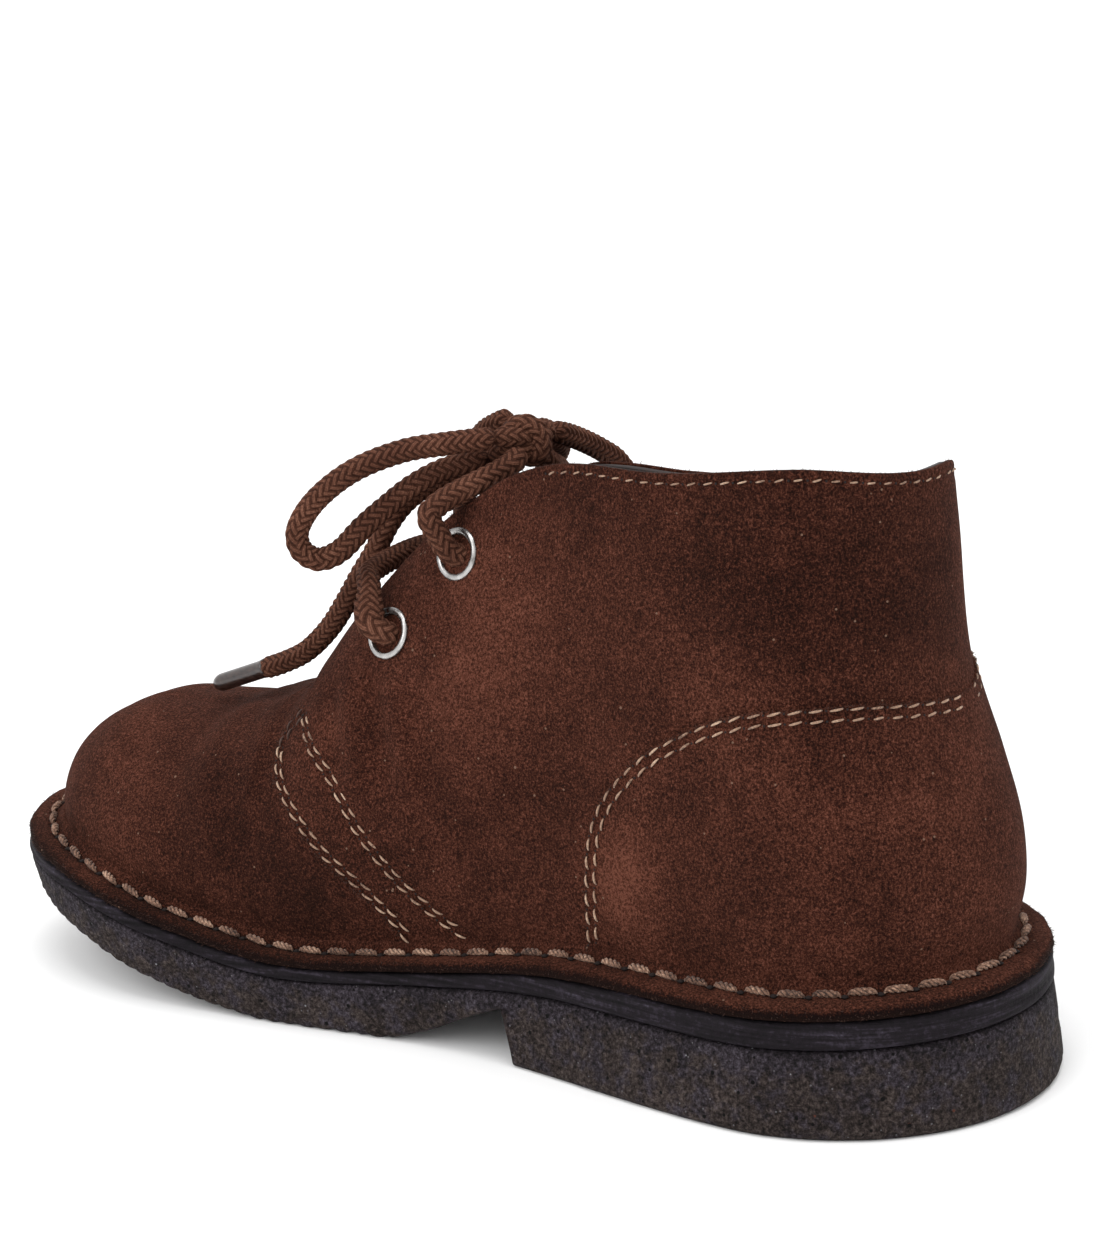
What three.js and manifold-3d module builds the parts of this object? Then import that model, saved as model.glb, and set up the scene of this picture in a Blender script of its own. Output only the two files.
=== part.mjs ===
// Child's desert boot in suede on a crepe sole, built as its maker's pieces.
// Millimetres. +X runs to the toe, +Y to the shoe's left side, which is the inner side, and +Z up.
// Stations run along the sole as shares of its length, from the heel to the toe.
import * as THREE from "three";
import { mergeVertices } from "three/addons/utils/BufferGeometryUtils.js";
import Module from "manifold-3d";

const wasm = await Module();
wasm.setup();

// Sole
const SOLE_LENGTH = 190;
const HEEL_BREADTH = 64.5;
const WAIST_BREADTH = 58;
const BALL_BREADTH = 73;
const TOE_BREADTH = 70;
const HEEL_ROUND = 37;
const TOE_ROUND = 46;
const SEAT_HEIGHT = 19.6;
const TOE_SPRING = 12.5;
const RUNNER_THICK = 1.9;
const RUNNER_HEEL_THICK = 4.3;
const HEEL_LENGTH = 77;
const BREAST_HEIGHT = 10.5;
const BREAST_LEAN = 2.0;
const HEEL_FLARE = 1.4;
const EDGE_BEVEL = 0.9;

// Upper
const FLANGE_WIDTH = 6;
const FLANGE_THICK = 1.6;
const WALL = 1.7;
const COLLAR_HEIGHT = 76;
const COLLAR_BREADTH = 45;
const ANKLE_DIP = 8.5;
const INSTEP_HEIGHT = 55;
const TOE_BOX_HEIGHT = 24;
const TOE_TOP_ROUND = 22;
const THROAT_BREADTH = 21;
const CENTRE_FADE = 1.6;
const BACK_LEAN = 10.6;
const BACK_LEAN_REACH = 70;
const QUARTER_STEP = 0.7;
const COUNTER_STEP = 0.7;
const RIM_STEP = 0.4;

// Tongue, insole and eyelets
const TONGUE_THICK = 1.6;
const TONGUE_TOP = 0.46;
const TONGUE_SEAM = 0.77;
const TONGUE_WING = 0.86;
const TONGUE_SINK = 0.6;
const TONGUE_CROWN = 0.08;
const TONGUE_CLOSING = 0.05;
const INSOLE_THICK = 3;
const EYELET_OUTER = 8.6;
const EYELET_BORE = 4.8;
const EYELET_WALL = 0.6;
const EYELET_LIP = 0.7;

// Lace
const LACE_DIAMETER = 4.0;
const AGLET_LENGTH = 11;
const AGLET_DIAMETER = 3.2;
const STRAND_CLEARANCE_INNER = 2.4;
const STRAND_CLEARANCE_OUTER = 1.3;
const KNOT = [85.5, 2.5, 95.4];
const KNOT_SIZE = [9.0, 9.6, 7.6];
const STRAND_REACH_INNER = [0.4, 5.2, -3.2];
const STRAND_REACH_OUTER = [0.2, -5.2, -4.1];
const BAR_CREST = [0.8, 0, 1.0];

// Gap between pieces that meet
const GAP = 0.3;
const WEB_GAP = 0.5;

// Fineness of the facets
const STATIONS = 38;
const FLANGE_ROWS = 3;
const WALL_ROWS = 9;
const LINING_ROWS = 7;
const EDGE_STEPS = 22;
const ROUND_STEPS = 16;
const LACE_SIDES = 8;

// Sole outline before its ends are rounded: breadth and middle line at each station
const OUTLINE = [
  { at: 0.0, breadth: HEEL_BREADTH, middle: 0.02 * HEEL_BREADTH },
  { at: 0.2, breadth: HEEL_BREADTH, middle: 0.02 * HEEL_BREADTH },
  { at: 0.44, breadth: WAIST_BREADTH, middle: 0.0 * WAIST_BREADTH },
  { at: 0.66, breadth: BALL_BREADTH, middle: -0.04 * BALL_BREADTH },
  { at: 0.86, breadth: TOE_BREADTH, middle: 0.03 * TOE_BREADTH },
  { at: 1.0, breadth: TOE_BREADTH, middle: 0.08 * TOE_BREADTH },
];

// Height of the flange edge, and how far the flange drops from the wall to its edge
const FLANGE_LINE = [
  { at: 0.0, height: SEAT_HEIGHT + 0.08 * TOE_SPRING, drop: 1.3 },
  { at: 0.2, height: SEAT_HEIGHT - 0.06 * TOE_SPRING, drop: 1.3 },
  { at: 0.36, height: SEAT_HEIGHT - 0.14 * TOE_SPRING, drop: 0.9 },
  { at: 0.5, height: SEAT_HEIGHT - 0.44 * TOE_SPRING, drop: 0.3 },
  { at: 0.64, height: SEAT_HEIGHT - 0.59 * TOE_SPRING, drop: 0.0 },
  { at: 0.76, height: SEAT_HEIGHT - 0.28 * TOE_SPRING, drop: 0.0 },
  { at: 0.88, height: SEAT_HEIGHT + 0.15 * TOE_SPRING, drop: 0.3 },
  { at: 1.0, height: SEAT_HEIGHT + 0.41 * TOE_SPRING, drop: 0.5 },
];

// Thickness of the runner and of the crepe forefoot, and the outward flare of the crepe's side
const SOLE_LAYERS = [
  { at: 0.0, runner: RUNNER_HEEL_THICK, flare: HEEL_FLARE },
  { at: 0.3, runner: 0.85 * RUNNER_HEEL_THICK, flare: 1.3 * HEEL_FLARE },
  { at: 0.5, runner: RUNNER_THICK, flare: 0.1 * HEEL_FLARE },
  { at: 0.7, runner: RUNNER_THICK, flare: -0.4 * HEEL_FLARE },
  { at: 1.0, runner: RUNNER_THICK, flare: -0.7 * HEEL_FLARE },
];

// Underside of the crepe ahead of the heel block: share of the breast height, then of the toe spring
const UNDERSIDE = [
  { at: 0.4, height: 1.0 * BREAST_HEIGHT },
  { at: 0.45, height: 0.62 * BREAST_HEIGHT },
  { at: 0.5, height: 0.2 * BREAST_HEIGHT },
  { at: 0.545, height: 0.0 * BREAST_HEIGHT },
  { at: 0.655, height: 0.0 * TOE_SPRING },
  { at: 0.72, height: 0.13 * TOE_SPRING },
  { at: 0.8, height: 0.42 * TOE_SPRING },
  { at: 0.9, height: 0.86 * TOE_SPRING },
  { at: 1.0, height: 1.18 * TOE_SPRING },
];

// Sections of the upper. top: half breadth at the top edge. rise: height of the top edge over the flange.
// bulge, low: belly of the wall. shoulder, high: how the wall turns in to its top. dip: outer side's drop.
const SECTIONS = [
  {
    at: 0.0, top: 0.46 * COLLAR_BREADTH, rise: 0.962 * COLLAR_HEIGHT,
    bulge: 0.05, low: 0.3, shoulder: 0.1, high: 0.66, dip: 0.0,
  },
  {
    at: 0.1, top: 0.49 * COLLAR_BREADTH, rise: 1.002 * COLLAR_HEIGHT,
    bulge: 0.06, low: 0.3, shoulder: 0.1, high: 0.66, dip: 0.9,
  },
  {
    at: 0.25, top: 0.5 * COLLAR_BREADTH, rise: 1.0 * COLLAR_HEIGHT,
    bulge: 0.08, low: 0.3, shoulder: 0.12, high: 0.66, dip: 1.08,
  },
  {
    at: 0.35, top: 0.42 * COLLAR_BREADTH, rise: 1.01 * COLLAR_HEIGHT,
    bulge: 0.1, low: 0.32, shoulder: 0.2, high: 0.7, dip: 0.96,
  },
  {
    at: 0.41, top: 0.76 * THROAT_BREADTH, rise: 1.378 * INSTEP_HEIGHT,
    bulge: 0.13, low: 0.34, shoulder: 0.3, high: 0.76, dip: 0.5,
  },
  {
    at: 0.445, top: 0.7 * THROAT_BREADTH, rise: 1.345 * INSTEP_HEIGHT,
    bulge: 0.15, low: 0.36, shoulder: 0.38, high: 0.8, dip: 0.2,
  },
  {
    at: 0.51, top: 0.6 * THROAT_BREADTH, rise: 1.245 * INSTEP_HEIGHT,
    bulge: 0.18, low: 0.4, shoulder: 0.52, high: 0.86, dip: 0.0,
  },
  {
    at: 0.607, top: 0.5 * THROAT_BREADTH, rise: 1.0 * INSTEP_HEIGHT,
    bulge: 0.13, low: 0.5, shoulder: 0.62, high: 0.93, dip: 0.0,
  },
  {
    at: 0.68, top: 0.4 * THROAT_BREADTH, rise: 0.72 * INSTEP_HEIGHT,
    bulge: 0.09, low: 0.56, shoulder: 0.62, high: 0.98, dip: 0.0,
  },
  {
    at: 0.702, top: 0.37 * THROAT_BREADTH, rise: 1.54 * TOE_BOX_HEIGHT,
    bulge: 0.08, low: 0.58, shoulder: 0.7, high: 1.0, dip: 0.0,
  },
  {
    at: 0.81, top: 0.2 * THROAT_BREADTH, rise: 1.15 * TOE_BOX_HEIGHT,
    bulge: 0.08, low: 0.6, shoulder: 0.52, high: 1.0, dip: 0.0,
  },
  {
    at: 0.916, top: 0.12 * THROAT_BREADTH, rise: 0.975 * TOE_BOX_HEIGHT,
    bulge: 0.06, low: 0.6, shoulder: 0.53, high: 1.0, dip: 0.0,
  },
  {
    at: 1.0, top: 0.05 * THROAT_BREADTH, rise: 0.94 * TOE_BOX_HEIGHT,
    bulge: 0.03, low: 0.6, shoulder: 0.55, high: 1.0, dip: 0.0,
  },
];
const THROAT_BASE = 0.702;

// Lean of the back line at shares of the collar height, as shares of the whole lean
const BACK_LINE = [
  { at: 0.0, lean: 0.0 },
  { at: 0.12, lean: -0.09 },
  { at: 0.24, lean: -0.02 },
  { at: 0.38, lean: 0.28 },
  { at: 0.56, lean: 0.72 },
  { at: 0.8, lean: 0.87 },
  { at: 1.0, lean: 1.0 },
];

// Side view of the quarter's front edge, as shares of the sole length and of the collar height
const QUARTER_EDGE = [
  { along: 0.62, up: 0.6 },
  { along: 0.64, up: 0.44 },
  { along: 0.657, up: 0.385 },
  { along: 0.663, up: 0.33 },
  { along: 0.655, up: 0.27 },
  { along: 0.628, up: 0.19 },
  { along: 0.6, up: 0.12 },
  { along: 0.565, up: 0.05 },
  { along: 0.528, up: -0.04 },
];

// Side view of the counter's edge, from the front at the sole up to the back line
const COUNTER_EDGE = [
  { along: 0.327, up: -0.02 },
  { along: 0.326, up: 0.16 },
  { along: 0.317, up: 0.29 },
  { along: 0.29, up: 0.4 },
  { along: 0.25, up: 0.475 },
  { along: 0.19, up: 0.53 },
  { along: 0.12, up: 0.555 },
  { along: 0.05, up: 0.555 },
  { along: -0.05, up: 0.55 },
];

// Eyelets of each side: station share and height share of their middles on the quarter
const EYELETS = [
  { name: "lower", share: 0.547, q: 0.705 },
  { name: "upper", share: 0.477, q: 0.84 },
];

// Lace routes, measured from the back of the sole: x, y, z
const LOOP_INNER = [
  [87.9, 8.5, 96.6], [95.3, 11.0, 95.8], [101.9, 14.0, 94.8], [108.7, 18.0, 92.1], [114.4, 21.0, 87.6],
  [117.1, 23.0, 83.0], [117.0, 23.0, 79.7], [114.9, 21.5, 77.7], [112.3, 19.0, 78.6], [109.2, 16.5, 82.2],
  [106.4, 13.5, 85.2], [102.8, 10.5, 88.4], [98.5, 7.5, 90.8], [91.5, 5.0, 92.8],
];
const LOOP_OUTER = [
  [85.0, -4.6, 95.6], [85.2, -9.4, 94.2], [85.2, -14.4, 92.3], [84.8, -19.2, 90.0], [84.4, -23.6, 87.4],
  [84.4, -27.4, 83.4], [86.2, -30.2, 77.6], [90.2, -31.6, 72.2], [95.8, -32.0, 68.8], [101.6, -31.4, 68.8],
  [105.4, -30.6, 72.4], [105.2, -29.6, 78.0], [101.8, -27.6, 83.0], [97.0, -24.2, 87.2], [93.2, -19.6, 90.6],
  [91.4, -14.4, 93.2], [90.6, -9.6, 94.8], [89.4, -5.4, 94.9],
];
const END_INNER = [
  [92.4, 0.4, 92.5], [99.8, -1.0, 90.2], [106.4, -1.0, 87.0], [111.4, 0.6, 83.4], [114.3, 2.0, 79.6],
  [116.8, 3.0, 74.8], [119.5, 4.0, 70.5], [122.6, 4.0, 66.1], [126.4, 4.0, 61.2], [131.8, 4.0, 56.4],
  [137.0, 4.0, 53.8], [142.0, 4.0, 52.0],
];
const END_OUTER = [
  [90.9, -0.6, 98.2], [98.0, -4.2, 95.0], [104.6, -9.5, 89.6], [110.4, -15.5, 81.5], [115.0, -21.6, 71.4],
  [118.8, -26.4, 61.6], [122.0, -29.8, 52.4],
];

const clamp01 = (t) => Math.min(1, Math.max(0, t));
const lerp = (a, b, t) => a + (b - a) * t;

// A smooth curve through one named column of a table
function column(rows, name, at) {
  const last = rows.length - 1;
  const x = Math.min(rows[last].at, Math.max(rows[0].at, at));
  let i = 0;
  while (i < last - 1 && rows[i + 1].at < x) i += 1;
  const slope = (k) => {
    const a = rows[Math.max(0, k - 1)];
    const b = rows[Math.min(last, k + 1)];
    return (b[name] - a[name]) / (b.at - a.at);
  };
  const p = rows[i];
  const q = rows[i + 1];
  const run = q.at - p.at;
  const t = (x - p.at) / run;
  const h = t * t * (3 - 2 * t);
  const ease = run * (t * (1 - t) * (1 - t) * slope(i) - t * t * (1 - t) * slope(i + 1));
  return lerp(p[name], q[name], h) + ease;
}

// Quarter round that lifts from 0 to 1 as a distance runs from 0 to its reach
function quarterRound(distance, reach) {
  const t = 1 - clamp01(distance / reach);
  return Math.sqrt(Math.max(0, 1 - t * t));
}

// Place along the sole of a station share, on an outline that is set in by inset
function alongSole(share, inset) {
  return lerp(inset, SOLE_LENGTH - inset, share);
}

// One side of the sole's outline at x, set in by inset; side is 1 for the inner side and -1 for the outer
function outlineY(x, side, inset) {
  const at = x / SOLE_LENGTH;
  const half = column(OUTLINE, "breadth", at) / 2 - inset;
  const heel = quarterRound(x - inset, HEEL_ROUND - inset);
  const toe = quarterRound(SOLE_LENGTH - inset - x, TOE_ROUND - inset);
  return column(OUTLINE, "middle", at) + side * half * heel * toe;
}

const flangeHeight = (x) => column(FLANGE_LINE, "height", x / SOLE_LENGTH);
const flangeDrop = (x) => column(FLANGE_LINE, "drop", x / SOLE_LENGTH);
const runnerTop = (x) => flangeHeight(x) - FLANGE_THICK - GAP;
const runnerThick = (x) => column(SOLE_LAYERS, "runner", x / SOLE_LENGTH);
const crepeTop = (x) => runnerTop(x) - runnerThick(x) - GAP;

// Height of the crepe's underside, with the block of the heel behind its breast
function crepeBottom(x) {
  const breast = (x - HEEL_LENGTH) / BREAST_LEAN;
  const under = Math.max(0, column(UNDERSIDE, "height", x / SOLE_LENGTH));
  const heelEdge = EDGE_BEVEL * (1 - clamp01(x / (3 * EDGE_BEVEL)));
  return breast < 1 ? heelEdge + clamp01(breast) * under : under;
}

// A point of the upper's wall: share along the sole, side, height share q, and depth inside the outer face
function wallPoint(share, side, q, depth) {
  const inset = FLANGE_WIDTH + depth;
  const x = alongSole(share, inset);
  const at = x / SOLE_LENGTH;
  const value = (name) => column(SECTIONS, name, share);
  const middle = column(OUTLINE, "middle", at);
  const foot = Math.abs(outlineY(x, side, inset) - middle);
  const closed = share >= THROAT_BASE;
  const back = quarterRound(x - inset, HEEL_ROUND - inset);
  const tipRound = quarterRound(SOLE_LENGTH - inset - x, TOE_TOP_ROUND);
  const top = Math.max(0, value("top") - (closed ? 0 : depth)) * back * tipRound;
  const drop = side < 0 ? value("dip") * ANKLE_DIP : 0;
  const cover = closed ? depth : 0;
  const rise = (value("rise") - drop - cover) * tipRound;
  const points = [
    [foot, 0],
    [foot * (1 + value("bulge")), value("low") * rise],
    [lerp(top, foot, value("shoulder")), value("high") * rise],
    [top, rise],
  ];
  const weights = [(1 - q) ** 3, 3 * q * (1 - q) ** 2, 3 * q * q * (1 - q), q ** 3];
  const half = weights.reduce((sum, w, k) => sum + w * points[k][0], 0);
  const up = weights.reduce((sum, w, k) => sum + w * points[k][1], 0);
  const lean = column(BACK_LINE, "lean", up / COLLAR_HEIGHT) * BACK_LEAN;
  const reach = 1 - clamp01((x - inset) / BACK_LEAN_REACH);
  const centre = middle * (1 - up / COLLAR_HEIGHT * clamp01(CENTRE_FADE * (1 - at)));
  const z = flangeHeight(x) + flangeDrop(x) + up;
  return new THREE.Vector3(x + lean * reach * reach, centre + side * half, z);
}

// Station shares, closer together at both ends
function stationShares(count, extra = []) {
  const shares = [];
  for (let i = 0; i <= count; i += 1) shares.push((1 - Math.cos((Math.PI * i) / count)) / 2);
  const kept = shares.filter((s) => extra.every((e) => Math.abs(s - e) > 0.006));
  return kept.concat(extra).sort((a, b) => a - b);
}

// Closed geometry from triangles, with shared corners merged and flat triangles dropped
function weld(triangles) {
  const flat = new THREE.BufferGeometry();
  const values = triangles.flatMap((t) => t.flatMap((p) => [p.x, p.y, p.z]));
  flat.setAttribute("position", new THREE.Float32BufferAttribute(values, 3));
  const merged = mergeVertices(flat, 1e-4);
  const index = merged.index.array;
  const kept = [];
  for (let i = 0; i < index.length; i += 3) {
    const [a, b, c] = [index[i], index[i + 1], index[i + 2]];
    if (a !== b && b !== c && c !== a) kept.push(a, b, c);
  }
  merged.setIndex(kept);
  return merged;
}

function quad(list, a, b, c, d) {
  list.push([a, b, c], [a, c, d]);
}

// Skin between the section loops of both sides. A loop runs from the outside over the top to the inside,
// and rim is the index of its edge at the top. Ahead of the throat the two sides are joined over the middle.
function skinLoops(shares, loopAt, rim) {
  const list = [];
  for (const side of [1, -1]) {
    for (let i = 0; i + 1 < shares.length; i += 1) {
      const a = loopAt(shares[i], side);
      const b = loopAt(shares[i + 1], side);
      for (let k = 0; k < a.length; k += 1) {
        const n = (k + 1) % a.length;
        if (k === rim && shares[i] >= THROAT_BASE) continue;
        if (side > 0) quad(list, a[k], a[n], b[n], b[k]);
        else quad(list, a[k], b[k], b[n], a[n]);
      }
    }
  }
  const closed = shares.filter((share) => share >= THROAT_BASE);
  for (let i = 0; i + 1 < closed.length; i += 1) {
    const [a, b] = [loopAt(closed[i], 1), loopAt(closed[i + 1], 1)];
    const [c, d] = [loopAt(closed[i], -1), loopAt(closed[i + 1], -1)];
    quad(list, c[rim], d[rim], b[rim], a[rim]);
    quad(list, a[rim + 1], b[rim + 1], d[rim + 1], c[rim + 1]);
    if (i === 0) quad(list, a[rim], a[rim + 1], c[rim + 1], c[rim]);
  }
  return weld(list);
}

function solid(geometry) {
  const bare = geometry.clone();
  for (const name of ["normal", "uv"]) if (bare.getAttribute(name)) bare.deleteAttribute(name);
  const merged = mergeVertices(bare, 1e-4);
  const vertProperties = Float32Array.from(merged.getAttribute("position").array);
  const triVerts = Uint32Array.from(merged.index.array);
  return new wasm.Manifold(new wasm.Mesh({ numProp: 3, vertProperties, triVerts }));
}

function geometryOf(manifold) {
  const mesh = manifold.getMesh();
  const geometry = new THREE.BufferGeometry();
  geometry.setAttribute("position", new THREE.BufferAttribute(Float32Array.from(mesh.vertProperties), 3));
  geometry.setIndex(Array.from(mesh.triVerts));
  return geometry;
}

const UPPER_SHARES = stationShares(STATIONS, [THROAT_BASE, THROAT_BASE - 0.008]);

// The whole upper at one thickness: flange, wall and lining face
function upperShell() {
  const loopAt = (share, side) => {
    const edgeX = alongSole(share, 0);
    const seamX = alongSole(share, 0.6 * FLANGE_WIDTH);
    const innerX = alongSole(share, FLANGE_WIDTH + WALL);
    const point = (x, inset, z) => new THREE.Vector3(x, outlineY(x, side, inset), z);
    const loop = [
      point(edgeX, 0, flangeHeight(edgeX) - FLANGE_THICK),
      point(edgeX, 0, flangeHeight(edgeX)),
      point(seamX, 0.6 * FLANGE_WIDTH, flangeHeight(seamX) + 0.7 * flangeDrop(seamX)),
    ];
    for (let k = 0; k <= WALL_ROWS; k += 1) loop.push(wallPoint(share, side, k / WALL_ROWS, 0));
    for (let k = LINING_ROWS; k >= 0; k -= 1) loop.push(wallPoint(share, side, k / LINING_ROWS, WALL));
    loop.push(point(innerX, FLANGE_WIDTH + WALL, flangeHeight(innerX) - FLANGE_THICK));
    return loop;
  };
  return skinLoops(UPPER_SHARES, loopAt, FLANGE_ROWS + WALL_ROWS);
}

// A layer on the wall, from inside the wall out to a step above it, with its foot sunk in the flange
function wallLayer(step, buried) {
  const sunk = new THREE.Vector3(0, 0, -0.4 * FLANGE_THICK);
  const trim = (share) => (share < THROAT_BASE ? RIM_STEP : 0);
  const lowered = (share, side, q, depth) => {
    const p = wallPoint(share, side, q, depth);
    return p.setZ(p.z - trim(share) * q);
  };
  const loopAt = (share, side) => {
    const loop = [wallPoint(share, side, 0, -step).add(sunk)];
    for (let k = 0; k <= WALL_ROWS; k += 1) loop.push(lowered(share, side, k / WALL_ROWS, -step));
    for (let k = WALL_ROWS; k > 0; k -= 1) loop.push(lowered(share, side, k / WALL_ROWS, buried));
    loop.push(wallPoint(share, side, 0, buried).add(sunk));
    return loop;
  };
  return skinLoops(UPPER_SHARES, loopAt, 1 + WALL_ROWS);
}

// A cutter across the shoe, from a side view outline in millimetres
function sideCutter(points) {
  const shape = new THREE.Shape(points.map(([x, z]) => new THREE.Vector2(x, -z)));
  const reach = 2 * HEEL_BREADTH;
  const cutter = new THREE.ExtrudeGeometry(shape, { depth: reach, bevelEnabled: false });
  cutter.rotateX(-Math.PI / 2);
  cutter.translate(0, -reach / 2, 0);
  return cutter;
}

// A stack of outlines, each with its inset and height at x, closed across the top and the bottom
function stack(levels, shares) {
  const list = [];
  const point = (level, share, side) => {
    const inset = level.inset(alongSole(share, 0));
    const x = alongSole(share, inset);
    return new THREE.Vector3(x, outlineY(x, side, inset), level.height(alongSole(share, 0)));
  };
  const last = levels.length - 1;
  for (let i = 0; i + 1 < shares.length; i += 1) {
    const [s, t] = [shares[i], shares[i + 1]];
    for (const side of [1, -1]) {
      for (let k = 0; k < last; k += 1) {
        const corners = [point(levels[k], s, side), point(levels[k], t, side)];
        corners.push(point(levels[k + 1], t, side), point(levels[k + 1], s, side));
        if (side < 0) corners.reverse();
        quad(list, ...corners.reverse());
      }
    }
    const rim = (level, side) => [point(level, s, side), point(level, t, side)];
    const across = (level) => [...rim(level, -1), ...rim(level, 1).reverse()];
    quad(list, ...across(levels[last]));
    quad(list, ...across(levels[0]).reverse());
  }
  return weld(list);
}

// Runner between the flange and the crepe
function midsole() {
  const inset = () => 0;
  const levels = [
    { inset, height: (x) => runnerTop(x) - runnerThick(x) },
    { inset, height: runnerTop },
  ];
  return stack(levels, UPPER_SHARES);
}

// Crepe sole with the heel in one piece: its side flares down to a bevelled tread edge
function outsole() {
  const flare = (x) => column(SOLE_LAYERS, "flare", x / SOLE_LENGTH);
  const between = (x, t) => lerp(crepeBottom(x), crepeTop(x), t);
  const levels = [
    { inset: (x) => EDGE_BEVEL - flare(x), height: crepeBottom },
    { inset: (x) => -flare(x), height: (x) => crepeBottom(x) + EDGE_BEVEL },
    { inset: (x) => -0.7 * flare(x), height: (x) => between(x, 0.5) },
    { inset: () => 0, height: crepeTop },
  ];
  const breast = [HEEL_LENGTH, HEEL_LENGTH + BREAST_LEAN];
  const marks = breast.concat([3 * EDGE_BEVEL, 0.545 * SOLE_LENGTH, 0.655 * SOLE_LENGTH]);
  return stack(levels, stationShares(STATIONS - 4, marks.map((x) => x / SOLE_LENGTH)));
}

// Insole inside the walls, on the runner
function insole() {
  const inset = () => FLANGE_WIDTH + WALL + WEB_GAP;
  const bottom = (x) => runnerTop(x) + GAP;
  const levels = [
    { inset, height: bottom },
    { inset, height: (x) => bottom(x) + INSOLE_THICK },
  ];
  return stack(levels, UPPER_SHARES);
}

// Side view edge as a smooth line in millimetres
function sideEdge(rows) {
  const points = rows.map(({ along, up }) => {
    return new THREE.Vector2(along * SOLE_LENGTH, SEAT_HEIGHT + up * COLLAR_HEIGHT);
  });
  return new THREE.SplineCurve(points).getPoints(EDGE_STEPS).map((p) => [p.x, p.y]);
}

// Frame of a place on the quarter: its point, the way out of the leather, and the ways along and up
function placeOn(side, { share, q }) {
  const step = 0.002;
  const at = (s, k) => wallPoint(s, side, k, -QUARTER_STEP);
  const point = at(share, q);
  const along = at(share + step, q).sub(at(share - step, q)).normalize();
  const up = at(share, q + step).sub(at(share, q - step)).normalize();
  const out = new THREE.Vector3().crossVectors(up, along).multiplyScalar(side).normalize();
  return { point, out };
}

// A lathe form turned to stand on a place, with its axis pointing out of the leather
function standOn(geometry, { point, out }) {
  const turn = new THREE.Quaternion().setFromUnitVectors(new THREE.Vector3(0, 1, 0), out);
  geometry.applyQuaternion(turn);
  geometry.translate(point.x, point.y, point.z);
  return geometry;
}

// Upper with the quarters laid over the vamp, the counter over the quarters, and holes for the eyelets
function upper() {
  const behind = -SOLE_LENGTH;
  const above = 2 * COLLAR_HEIGHT;
  const quarterSide = sideEdge(QUARTER_EDGE);
  const counterSide = sideEdge(COUNTER_EDGE);
  quarterSide.push([quarterSide.at(-1)[0], 0], [behind, 0], [behind, above], [quarterSide[0][0], above]);
  counterSide.push([behind, counterSide.at(-1)[1]], [behind, 0], [counterSide[0][0], 0]);
  const quarter = solid(wallLayer(QUARTER_STEP, 0.5 * WALL)).intersect(solid(sideCutter(quarterSide)));
  const counter = solid(wallLayer(QUARTER_STEP + COUNTER_STEP, 0.3 * WALL))
    .intersect(solid(sideCutter(counterSide)));
  let whole = solid(upperShell()).add(quarter).add(counter);
  const holeRadius = EYELET_BORE / 2 + EYELET_WALL + GAP;
  for (const side of [1, -1]) {
    for (const row of EYELETS) {
      const hole = new THREE.CylinderGeometry(holeRadius, holeRadius, 6 * WALL, ROUND_STEPS);
      whole = whole.subtract(solid(standOn(hole, placeOn(side, row))));
    }
  }
  return whole;
}

// Rolled metal eyelet: a barrel through the leather with a lip on its face
function eyelet(side, row) {
  const bore = EYELET_BORE / 2;
  const barrel = bore + EYELET_WALL;
  const lip = EYELET_OUTER / 2;
  const top = GAP + EYELET_LIP;
  const depth = WALL + QUARTER_STEP;
  const profile = [
    [bore, -depth],
    [barrel, -depth],
    [barrel, GAP],
    [lip, GAP],
    [lip - 0.3 * EYELET_LIP, GAP + 0.7 * EYELET_LIP],
    [bore + 0.7 * EYELET_WALL, top],
    [bore, GAP + 0.5 * EYELET_LIP],
    [bore, -depth],
  ];
  const points = profile.map(([r, h]) => new THREE.Vector2(r, h));
  return standOn(new THREE.LatheGeometry(points, ROUND_STEPS), placeOn(side, row));
}

// Tongue: sewn under the vamp ahead of the throat, crowned in the gap, with wings under the quarters
function tongue() {
  const depth = WALL + WEB_GAP;
  const rows = 16;
  const face = (share, lower) => {
    const d = depth + (lower ? TONGUE_THICK : 0);
    const t = clamp01((share - TONGUE_TOP) / 0.03);
    const wing = lerp(0.97, TONGUE_WING, quarterRound(t, 1));
    const wings = (side) => [wing, (wing + 1) / 2, 1].map((q) => wallPoint(share, side, q, d));
    const near = wings(1);
    const far = wings(-1);
    const closing = share < THROAT_BASE ? clamp01(1 - (THROAT_BASE - share) / TONGUE_CLOSING) : 0;
    for (const p of [...near, ...far]) p.setZ(p.z - TONGUE_SINK - closing * depth);
    const crown = near[2].clone().lerp(far[2], 0.5);
    crown.z += (share < THROAT_BASE ? 1 - closing : 0) * TONGUE_CROWN * near[2].distanceTo(far[2]);
    return [...near, crown, ...far.reverse()];
  };
  const list = [];
  const shares = Array.from({ length: rows + 1 }, (_, i) => lerp(TONGUE_TOP, TONGUE_SEAM, i / rows));
  const loops = shares.map((share) => [...face(share, false), ...face(share, true).reverse()]);
  const half = loops[0].length / 2;
  for (let i = 0; i < rows; i += 1) {
    const [a, b] = [loops[i], loops[i + 1]];
    for (let k = 0; k < a.length; k += 1) {
      const n = (k + 1) % a.length;
      quad(list, a[k], a[n], b[n], b[k]);
    }
  }
  for (let k = 0; k + 1 < half; k += 1) {
    const [a, b] = [loops[0], loops[rows]];
    const m = 2 * half - 1 - k;
    quad(list, a[k + 1], a[k], a[m], a[m - 1]);
    quad(list, b[k], b[k + 1], b[m - 1], b[m]);
  }
  return weld(list);
}

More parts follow.
